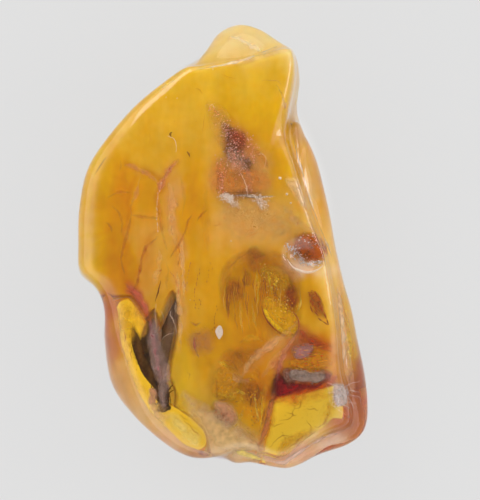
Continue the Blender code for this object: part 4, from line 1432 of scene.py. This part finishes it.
def add_pit_grains_and_highlight():
    """The hollow in the face: silvery grains, and a pale rim that is a painted highlight on its lower lip."""
    batch = Batch()
    lines = (
        (((289, 247), (294, 250), (300, 258), (306, 262)), (2.2, 2.0), 130, 200),
        (((308, 263), (314, 263), (321, 262)), (2.6, 1.3), 60, 201),
        (((300, 240), (312, 238), (322, 246)), (3.0, 2.0), 24, 205),
    )
    spots = np.vstack([scatter(*line) for line in lines])
    batch.add(crumbs(spots, 0.1, 0.015, 0.07, 202), seen((218, 206, 196), 0.1))
    # The pale rim is a painted highlight where the pit's lower lip catches the light.
    rim = ((288, 259), (293, 266), (300, 270), (308, 272), (317, 270), (324, 265))
    batch.add(strand(rim, 0.15, (0.03, 0.12, 0.03), 0.5), seen((252, 216, 180), 0.15))
    batch.make("pit_grains_and_highlight", flaw_material("pit_grain_and_highlight", 0.3, 0.6))


# The disc: its middle and half-sizes in pixels, and the colours of its streaks and of its crumbs
DISC_MIDDLE = (261, 296)
DISC_HALF_WIDTH, DISC_HALF_HEIGHT = 39, 36
STREAK_COLOURS = ((150, 92, 26), (136, 82, 24), (226, 170, 56), (206, 146, 34))
SPARKLE_COLOURS = ((240, 190, 50), (134, 84, 20), (250, 214, 90))
SICKLE = (
    (263, 309), (266, 310), (270, 317), (277, 325), (284, 330), (287, 334), (283, 334), (274, 329),
    (267, 320),
)
SICKLE_SHADOW = ((262, 306), (265, 316), (271, 325), (279, 332), (288, 337))
DISC_EDGE = ((294, 312), (299, 320), (299, 330), (296, 337))


def disc_streak(chance):
    """Marks of one upright streak of the disc."""
    column = chance.uniform(224, 296)
    share = (column - DISC_MIDDLE[0]) / DISC_HALF_WIDTH
    reach = DISC_HALF_HEIGHT * math.sqrt(max(1 - share**2, 0.02))
    top = DISC_MIDDLE[1] - reach * chance.uniform(0.0, 0.9)
    bottom = min(top + chance.uniform(8, 30), DISC_MIDDLE[1] + 2 + reach)
    middle = (column + chance.normal(0, 0.6), 0.5 * (top + bottom))
    return (column, top), middle, (column + chance.normal(0, 1), bottom)


def add_disc():
    """The round brownish disc right of the middle: upright streaks, a bright sickle and sparkling crumbs."""
    batch = Batch()
    chance = np.random.default_rng(300)
    for _ in range(70):
        marks = disc_streak(chance)
        depth = chance.uniform(0.15, 0.9)
        shape = strand(marks, depth, (0.008, chance.uniform(0.015, 0.04), 0.008), 0.6, 0.5)
        batch.add(shape, seen(STREAK_COLOURS[chance.integers(0, 4)], 0.8))
    batch.add(strand(SICKLE_SHADOW, 0.45, (0.02, 0.07, 0.02), 0.6), seen((120, 66, 20), 0.5))
    batch.add(strand(DISC_EDGE, 0.35, (0.02, 0.06, 0.02), 0.6), seen((140, 80, 50), 0.4))
    batch.add(plate(SICKLE, 0.55, 0.3, 0.06, 0.3), seen((255, 196, 14), 0.5))
    for spot in scatter(((262, 262), (268, 276), (276, 290), (284, 300), (292, 312)), (5, 4), 150, 301):
        depth = chance.uniform(0.15, 0.5)
        size = chance.uniform(0.015, 0.06)
        shape = crumb_cloud([spot], depth, [size], int(spot[0] * 7))
        batch.add(shape, seen(SPARKLE_COLOURS[chance.integers(0, 3)], 0.4))
    batch.make("disc_streaks", flaw_material("disc_streak", 0.4, 0.4))


# Edges of the brown flake
FLAKE_EDGES = (
    ((309, 294), (311, 302), (313, 310), (318, 317), (328, 324)),
    ((315, 292), (319, 299), (322, 308), (326, 318), (328, 324)),
    ((312, 299), (315, 307), (317, 313)),
    ((308, 294), (312, 292), (316, 293)),
)
RED_DASH_COLOURS = ((176, 78, 26), (232, 150, 50), (160, 60, 34))
# Grains by the lower seam and the ridge: a line in the picture, spread, how many, and their two colours
SEAM_GRAINS = (
    (((228, 396), (240, 392), (250, 400), (252, 420)), (6, 6), 120, ((240, 190, 40), (110, 70, 20))),
    (((250, 388), (258, 400), (262, 420)), (4, 8), 80, ((226, 160, 40), (104, 56, 24))),
    (((216, 410), (226, 418), (234, 414)), (4, 3), 40, ((150, 90, 60), (110, 60, 40))),
    (((347, 300), (350, 330), (350, 370)), (2.2, 5), 200, ((246, 206, 60), (206, 140, 20))),
    (((274, 384), (278, 378), (280, 370)), (2, 4), 40, ((130, 50, 44), (90, 40, 40))),
)


def add_seams():
    """Edges of the brown flake, dashes over the dark red band, and grains by the lower seam and the ridge."""
    batch = Batch()
    for line in FLAKE_EDGES:
        for shape in dashes(line, 0.18, 0.05, 6, 0.9, 0.7, int(line[0][0])):
            batch.add(shape, seen((118, 58, 40), 0.2))
    for number in range(12):
        row = 345 + 2.2 * number
        marks = ((290 + number % 3 * 4, row), (306, row + 1.5), (322 + number % 4 * 3, row - 1))
        for shape in dashes(marks, 0.2, 0.03, 5, 0.6, 1.2, 10 + number):
            batch.add(shape, seen(RED_DASH_COLOURS[number % 3], 0.2))
    for number, (line, spread, count, colours) in enumerate(SEAM_GRAINS):
        for share, colour in enumerate(colours):
            spots = scatter(line, spread, count // 2, 450 + 2 * number + share)
            sizes = np.random.default_rng(460 + number).uniform(0.012, 0.05, len(spots))
            batch.add(crumb_cloud(spots, SEAM_DEPTH, sizes, 470 + number), seen(colour, 0.2))
    batch.make("seams", flaw_material("seam", 0.5, 0.3))


def add_silvery_flaws():
    """Grains of the grey oblong, and the patch of grains and hairs at the right edge."""
    batch = Batch()
    oblong = scatter(((288, 376), (298, 375), (310, 376), (321, 376)), (3.0, 2.6), 260, 400)
    batch.add(crumbs(oblong, 0.17, 0.012, 0.04, 401), seen((156, 140, 126), 0.2))
    patch = scatter(((335, 403), (340, 396), (344, 389)), (2.6, 2.6), 150, 405)
    batch.add(crumbs(patch, 0.13, 0.015, 0.07, 406), seen((222, 204, 190), 0.15))
    chance = np.random.default_rng(420)
    for _ in range(26):
        start = np.array((chance.uniform(326, 352), chance.uniform(382, 402)))
        bend = start + chance.normal(0, 1, 2) * (5, 3) + (4, 3)
        end = bend + chance.normal(0, 1, 2) * (5, 3) + (3, 5)
        shape = strand((start, bend, end), 0.08, (0.005, 0.014, 0.005), 0.8)
        batch.add(shape, seen((240, 206, 180), 0.1))
    batch.make("silvery_flaws", flaw_material("silvery_flaw", 0.35, 0.5, 0.6, 1.25))


# Cracks in the clear windows
CRACKS = (
    ((296, 403), (295, 410), (293, 416), (287, 419), (280, 422)),
    ((288, 413), (292, 415), (297, 418)),
    ((303, 400), (301, 406), (296, 411)),
    ((330, 407), (329, 415), (327, 422), (320, 428), (315, 428)),
    ((282, 433), (285, 438), (287, 443)),
    ((306, 410), (314, 411), (320, 410)),
    ((268, 424), (276, 426), (283, 424)),
    ((270, 446), (278, 440), (286, 436), (296, 438)),
    ((306, 422), (311, 427), (310, 434)),
    ((180, 415), (184, 418), (188, 421)),
    ((183, 421), (190, 427), (197, 434), (201, 437)),
    ((128, 344), (130, 352), (129, 360)),
    ((288, 452), (294, 447), (301, 441), (308, 436)),
)


def add_window_cracks():
    """Fine dark cracks and specks in the clear windows at the bottom."""
    batch = Batch()
    for number, marks in enumerate(CRACKS):
        shape = strand(marks, WINDOW_DEPTH, (0.008, 0.022, 0.006), 0.8, 1.0, 500 + number)
        batch.add(shape, seen((110, 66, 20), WINDOW_DEPTH))
    lines = (
        (((274, 406), (300, 420), (320, 404)), (12, 10), 70, 501),
        (((176, 412), (190, 430), (200, 440)), (5, 5), 16, 502),
        (((128, 320), (134, 360), (146, 386)), (2, 8), 12, 505),
    )
    specks = np.vstack([scatter(*line) for line in lines])
    batch.add(crumbs(specks, WINDOW_DEPTH, 0.01, 0.03, 503), seen((120, 76, 24), WINDOW_DEPTH))
    batch.make("cracks", flaw_material("crack", 0.6, 0.2))


# Cloudy rims over the clear windows: outlines in the picture
LEFT_RIM = (
    (106, 296), (113, 297), (118, 310), (120, 325), (122, 342), (128, 362), (135, 382), (143, 398),
    (153, 414), (164, 424), (172, 432), (184, 443), (198, 449), (212, 454), (214, 470), (180, 462),
    (150, 438), (125, 405), (108, 370), (102, 330),
)
CORNER_RIM = (
    (334, 387), (346, 384), (352, 372), (362, 380), (370, 405), (366, 428), (346, 440), (326, 446),
    (306, 458), (286, 468), (268, 464), (264, 454), (280, 457), (296, 446), (312, 434), (326, 424),
    (333, 418), (347, 418), (348, 407), (335, 405),
)


def add_rims():
    """Cloudy bands along the lower edges, which frame the clear windows."""
    batch = Batch()
    for outline in (LEFT_RIM, CORNER_RIM):
        points, faces = plate(outline, CLOUD_DEPTH, 0.9, 0.12, 0.6)
        batch.add((points, faces), cloud_tint(points))
    batch.make("cloudy_rims", cloud_material())


# The moth, head down along the lump, in mm: as in the solid, with some wings and the abdomen a little shorter
BODY_TURN = math.radians(8.0)
THORAX, THORAX_SIZES = (-4.5, -11.0, 8.1), (0.5, 0.95, 0.55)
HEAD, HEAD_SIZES = (-4.3, -12.1, 8.1), (0.36, 0.42, 0.36)
ABDOMEN, ABDOMEN_SIZES = (-4.95, -8.7, 8.0), (0.4, 2.3, 0.45)
EYES = ((-4.58, -12.25, 8.15), (-3.98, -12.22, 8.15))
EYE_RADIUS = 0.16
# Each wing: its outline seen from above, and the heights of its root and its tip
LEFT_FOREWING = (
    (-4.6, -11.3), (-5.2, -10.5), (-5.6, -10.05), (-5.95, -9.5), (-6.35, -8.5), (-6.62, -7.5), (-6.7, -6.7),
    (-6.62, -6.15), (-6.35, -6.5), (-6.05, -7.1), (-5.7, -8.3), (-5.1, -9.6),
)
LEFT_HINDWING = (
    (-4.6, -11.0), (-5.35, -9.8), (-5.85, -8.6), (-6.0, -7.4), (-5.92, -6.6), (-5.55, -5.7), (-5.3, -6.1),
    (-5.0, -7.6),
)
RIGHT_HINDWING = (
    (-4.4, -11.0), (-5.1, -8.0), (-5.32, -6.3), (-5.1, -5.5), (-4.86, -6.2), (-4.66, -7.3), (-4.3, -8.8),
)
RIGHT_FOREWING = (
    (-4.5, -11.3), (-4.8, -9.8), (-4.7, -8.4), (-4.5, -7.1), (-4.45, -5.8), (-4.2, -4.5), (-3.85, -3.85),
    (-3.6, -4.3), (-3.5, -5.3), (-3.6, -6.5), (-3.9, -8.2), (-4.15, -9.3), (-4.15, -10.6),
)
WINGS = (
    (LEFT_FOREWING, 8.2, 8.5),
    (LEFT_HINDWING, 8.0, 8.0),
    (RIGHT_HINDWING, 8.05, 7.9),
    (RIGHT_FOREWING, 8.25, 8.9),
)
LEGS = (
    ((-4.3, -10.7, 8.0), (-3.98, -10.8, 8.1), (-3.85, -10.6, 8.2), (-3.6, -10.4, 8.3)),
    ((-4.3, -11.3, 8.0), (-4.0, -11.4, 8.0), (-3.93, -11.05, 8.1), (-3.55, -10.8, 8.1)),
    ((-4.3, -11.7, 7.9), (-4.02, -11.85, 7.7), (-4.0, -11.45, 7.6), (-4.1, -11.0, 7.55)),
    ((-4.7, -10.8, 8.0), (-5.05, -10.95, 7.9), (-5.2, -10.7, 7.75), (-5.3, -10.35, 7.7)),
    ((-4.6, -11.3, 8.0), (-5.05, -11.45, 7.9), (-5.2, -11.15, 7.8), (-5.35, -10.85, 7.75)),
    ((-4.55, -11.7, 7.9), (-4.85, -11.9, 7.7), (-4.95, -11.6, 7.6), (-4.9, -11.15, 7.55)),
)
FEELERS = (
    ((-4.45, -12.25, 8.2), (-4.75, -12.4, 8.3), (-4.95, -12.0, 8.4), (-4.95, -11.3, 8.45)),
    ((-4.15, -12.25, 8.2), (-3.9, -12.35, 8.3), (-3.82, -12.0, 8.4), (-3.9, -11.3, 8.45)),
)
SCALES = np.array((0.16, 0.115, 0.11))
DARK_SCALES = np.array((0.10, 0.065, 0.06))
PALE_SCALES = np.array((0.42, 0.33, 0.29))
WING_VEINS = 8
HAIR_WIDTHS = (0.012, 0.01, 0.003)
LEG_WIDTHS = np.array((0.085, 0.1, 0.08, 0.05, 0.06, 0.05, 0.035, 0.03, 0.02))


def moth_wing(outline, root_height, tip_height, seed):
    """One folded wing: veined, a little arched, with paler veins and a darker, ragged edge."""
    line = closed_spline(outline, 8)
    low, high = line.min(0), line.max(0)
    xs, ys = (np.arange(low[k] - 0.1, high[k] + 0.1, 0.04) for k in (0, 1))
    xy = grid_places(xs, ys)
    ragged = level_noise(xy, seed, 9.0) * 0.035
    xy, triangles, on_cut = clipped_grid(xs, ys, outside_outline(xy, line) + ragged)
    inward = np.maximum(-outside_outline(xy, line), 0.0)
    along = np.clip((xy[:, 1] - low[1]) / (high[1] - low[1]), 0.0, 1.0)
    # Where each corner lies between the wing's left and right edges, from 0 to 1
    left = np.interp(xy[:, 1], *edge_by_row(line, np.min))
    right = np.interp(xy[:, 1], *edge_by_row(line, np.max))
    across = np.clip((xy[:, 0] - left) / np.maximum(right - left, 0.05), 0.0, 1.0)
    vein = np.abs(np.sin(math.pi * WING_VEINS * across)) ** 6
    folds = level_noise(xy, seed, 1.6)
    arch = 0.10 * np.sin(math.pi * across) * np.sqrt(np.clip(inward / 0.3, 0, 1))
    height = root_height + (tip_height - root_height) * along + arch + 0.02 * vein + 0.05 * folds
    patches = level_noise(xy * (2.2, 1.2), seed + 5)
    grain = level_noise(xy, seed, 22.0)
    tint = SCALES + np.outer(np.clip(patches, -0.5, 0.5), SCALES) + np.outer(grain * 0.35, SCALES)
    tint = mixed(tint, PALE_SCALES, 0.22 * vein * np.clip(inward / 0.1, 0, 1))
    tint = mixed(tint, DARK_SCALES, 0.7 * np.exp(-inward / 0.07))
    thickness = 0.07 * np.clip(inward / 0.08, 0, 1)
    points, faces = two_sided(xy, height, thickness, triangles, on_cut)
    return points, faces, np.vstack((tint, tint[~on_cut] * 0.8))


def edge_by_row(line, pick):
    """The outline's left or right edge as x against y."""
    rows = np.linspace(line[:, 1].min(), line[:, 1].max(), 40)
    reach = (rows[1] - rows[0]) * 1.2
    return rows, np.array([pick(line[np.abs(line[:, 1] - row) < reach, 0]) for row in rows])


def mixed(tints, colour, share):
    """Each tint moved towards a colour by its share."""
    share = np.reshape(share, (-1, 1))
    return tints * (1 - share) + colour * share


def moth_segment_body(centre, sizes, rings, seed):
    """An oval part of the body with ring-shaped folds, and paler scales at the edge of each ring."""
    ball = bmesh.new()
    bmesh.ops.create_uvsphere(ball, u_segments=36, v_segments=44, radius=1.0)
    corners = np.array([(v.co.x, v.co.z, v.co.y) for v in ball.verts])
    faces = [[v.index for v in f.verts][::-1] for f in ball.faces]
    ball.free()
    step = (corners[:, 1] * 0.5 + 0.5) * rings
    swell = 1.0 + (0.10 if rings > 1 else 0.0) * np.sin(math.pi * (step % 1.0))
    rough = np.array([noise.noise(Vector(c) * 5.0 + Vector((seed, 0, 0))) for c in corners])
    shaped = corners * np.array(sizes) * np.column_stack((swell, np.ones(len(corners)), swell))
    shaped = shaped * (1.0 + 0.05 * rough[:, None])
    tint = SCALES * (1.0 + 0.5 * rough[:, None])
    if rings > 1:
        tint = mixed(tint, PALE_SCALES, 0.5 * np.exp(-(step % 1.0) / 0.15))
    return turned(shaped, centre, BODY_TURN), faces, tint


def moth_fur(centre, sizes, count, length, seed):
    """Fine hairs that lie back along an oval part of the body."""
    chance = np.random.default_rng(seed)
    for _ in range(count):
        out = chance.normal(0, 1, 3)
        out /= np.linalg.norm(out)
        root = out * sizes
        tip = root + out * 0.3 * length + np.array((0, length, 0)) * chance.uniform(0.5, 1.1)
        tip += chance.normal(0, 0.04, 3)
        middle = 0.5 * (root + tip) + out * 0.12 * length
        path = turned(np.array((root, middle, tip)), centre, BODY_TURN)
        shade = (DARK_SCALES, SCALES, PALE_SCALES)[chance.integers(0, 3)]
        yield (*thread(path, HAIR_WIDTHS, sides=3), shade)


def moth_fringe(outline, root_height, tip_height, seed):
    """The fringe of long scales along the outer half of a wing."""
    chance = np.random.default_rng(seed)
    line = closed_spline(outline, 10)
    low, high = line[:, 1].min(), line[:, 1].max()
    for place, after in zip(line, np.roll(line, -1, 0)):
        along = (place[1] - low) / (high - low)
        if along < 0.45:
            continue
        side = np.array((after[1] - place[1], place[0] - after[0]))
        side = side / max(np.linalg.norm(side), 1e-6)
        if outside_outline(np.array([place + side * 0.05]), line)[0] < 0:
            side = -side
        height = root_height + (tip_height - root_height) * along
        for _ in range(3):
            reach = side * chance.uniform(0.06, 0.14) + (0, chance.uniform(0.02, 0.1))
            path = ((*place, height), (*(place + 0.5 * reach), height), (*(place + reach), height - 0.02))
            yield (*thread(np.array(path), HAIR_WIDTHS, sides=3), SCALES * chance.uniform(0.8, 1.5))


def moth_limbs():
    """Legs with a thick thigh, thinner shin and jointed foot, and beaded feelers."""
    for path in LEGS:
        line = smooth_line(path, 8)
        joints = 1.0 + 0.25 * np.abs(np.sin(np.linspace(0, 5 * math.pi, 9)))
        widths = LEG_WIDTHS * joints * 0.85
        yield (*thread(line, widths, sides=10), SCALES * 0.8)
        for share in (0.55, 0.6, 0.75):
            start = line[int(share * (len(line) - 1))]
            spur = np.array((start, start + (0.03, 0.06, 0.03), start + (0.04, 0.13, 0.03)))
            yield (*thread(spur, (0.014, 0.01, 0.003), sides=4), PALE_SCALES)
    for path in FEELERS:
        line = smooth_line(path, 24)
        beads = 0.7 + 0.3 * np.abs(np.sin(np.linspace(0, 18 * math.pi, len(line))))
        yield (*thread(line, np.linspace(0.055, 0.025, len(line)) * beads, sides=8), SCALES)


def add_moth():
    """The moth, with veined and fringed wings, a hairy ringed body, jointed legs and beaded feelers."""
    batch = Batch()
    rows = [
        moth_segment_body(ABDOMEN, ABDOMEN_SIZES, 9, 1),
        moth_segment_body(THORAX, THORAX_SIZES, 1, 2),
        moth_segment_body(HEAD, HEAD_SIZES, 1, 3),
    ]
    rows += [moth_segment_body(eye, (EYE_RADIUS,) * 3, 1, 4) for eye in EYES]
    rows += [moth_wing(*wing, seed) for seed, wing in enumerate(WINGS)]
    rows += moth_limbs()
    rows += moth_fur(THORAX, THORAX_SIZES, 420, 0.3, 11)
    rows += moth_fur(HEAD, HEAD_SIZES, 160, 0.18, 12)
    rows += moth_fur(ABDOMEN, ABDOMEN_SIZES, 700, 0.22, 13)
    for seed, wing in enumerate(WINGS):
        rows += moth_fringe(*wing, 20 + seed)
    for points, faces, tint in rows:
        batch.add((points, faces), tint)
    moth = batch.make("moth_detail", flaw_material("moth_scales", 0.75, 0.25, 0.8, 1.2), slot="insect")
    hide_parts("moth")


def add_lights():
    """A pale dome that darkens overhead, where the camera is, and two soft boxes that light up the edges."""
    world = bpy.data.worlds.new("studio")
    bpy.context.scene.world = world
    world.use_nodes = True
    tree = world.node_tree
    direction = tree.nodes.new("ShaderNodeTexCoord")
    split = tree.nodes.new("ShaderNodeSeparateXYZ")
    tree.links.new(direction.outputs["Generated"], split.inputs[0])
    strength = map_range(tree, split.outputs["Z"], OVERHEAD, (DOME, DOME_OVERHEAD), eased_ends=True)
    tree.links.new(strength, tree.nodes["Background"].inputs["Strength"])
    tree.nodes["Background"].inputs["Color"].default_value = (1.0, 1.0, 1.0, 1.0)
    for place, size, power in SOFTBOXES:
        light = bpy.data.lights.new("softbox", "AREA")
        light.size = size
        light.energy = power
        lamp = bpy.data.objects.new("softbox", light)
        lamp.location = place
        lamp.rotation_mode = "QUATERNION"
        lamp.rotation_quaternion = (-Vector(place)).to_track_quat("-Z", "Y")
        bpy.context.scene.collection.objects.link(lamp)


def add_floor():
    """A plain pale light table, brighter under the lump, where only the windows in the amber show it."""
    material, tree, shader = node_material("pale_table")
    shader.inputs["Base Color"].default_value = (TABLE_COLOUR, TABLE_COLOUR, TABLE_COLOUR, 1.0)
    shader.inputs["Roughness"].default_value = 0.9
    shader.inputs["Specular IOR Level"].default_value = 0.0
    shader.inputs["Emission Color"].default_value = (1.0, 1.0, 1.0, 1.0)
    away = tree.nodes.new("ShaderNodeVectorMath")
    away.operation = "LENGTH"
    scale = (1 / (GLOW_REACH[0] * MM), 1 / (GLOW_REACH[1] * MM), 0.0)
    tree.links.new(mapped(tree, scale), away.inputs[0])
    glow = map_range(tree, away.outputs["Value"], GLOW_FADE, (TABLE_GLOW_UNDER, TABLE_GLOW), eased_ends=True)
    tree.links.new(glow, shader.inputs["Emission Strength"])
    corners = [(x * TABLE_REACH, y * TABLE_REACH, 0) for x, y in ((-1, -1), (1, -1), (1, 1), (-1, 1))]
    mesh = bpy.data.meshes.new("table_top")
    mesh.from_pydata(corners, [], [(0, 1, 2, 3)])
    mesh.materials.append(material)
    floor = bpy.data.objects.new("table_top", mesh)
    floor.location = (0, 0, -TABLE_DROP)
    bpy.context.scene.collection.objects.link(floor)


def add_camera():
    """The camera over the table, looking straight down."""
    camera = bpy.data.cameras.new("camera")
    camera.lens = LENS
    camera.clip_start = 0.01
    mount = bpy.data.objects.new("camera", camera)
    mount.location = Vector(CAMERA_PLACE) * MM
    bpy.context.scene.collection.objects.link(mount)
    bpy.context.scene.camera = mount


def add_clear_amber():
    """The clear amber in one piece, which takes the place of the lump's two halves."""
    directions, faces = ball_directions(BALL_SPLITS, BALL_STRETCH)
    clear = piece("clear_amber", cast_out(lump_distance, HEART, directions), faces, amber_material())
    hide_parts("amber_front", "amber_back")


def add_cloud():
    """The cloudy amber, coloured at each corner, with a slightly lumpy and folded surface."""
    directions, faces = ball_directions(BALL_SPLITS, BALL_STRETCH, 0.35)
    points = cast_out(cloud_distance, CLOUD_HEART, directions)
    folds = noise_over(points * (1.1, 0.2, 0.3)) * 0.08
    lumps = noise_over(points, 0.7) * 0.08 + folds
    points += directions * (lumps - 0.07)[:, None]
    piece("cloudy_amber", points, faces, cloud_material(), cloud_tint(points))


def build_scene():
    """Makes every piece, the lights, the table and the camera."""
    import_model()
    add_clear_amber()
    add_cloud()
    add_rims()
    add_bands()
    add_dark_flaws()
    add_pale_flaws()
    add_pit_grains_and_highlight()
    add_disc()
    add_seams()
    add_silvery_flaws()
    add_window_cracks()
    add_moth()
    add_lights()
    add_floor()
    add_camera()
    bpy.context.scene.view_settings.view_transform = "Standard"


build_scene()
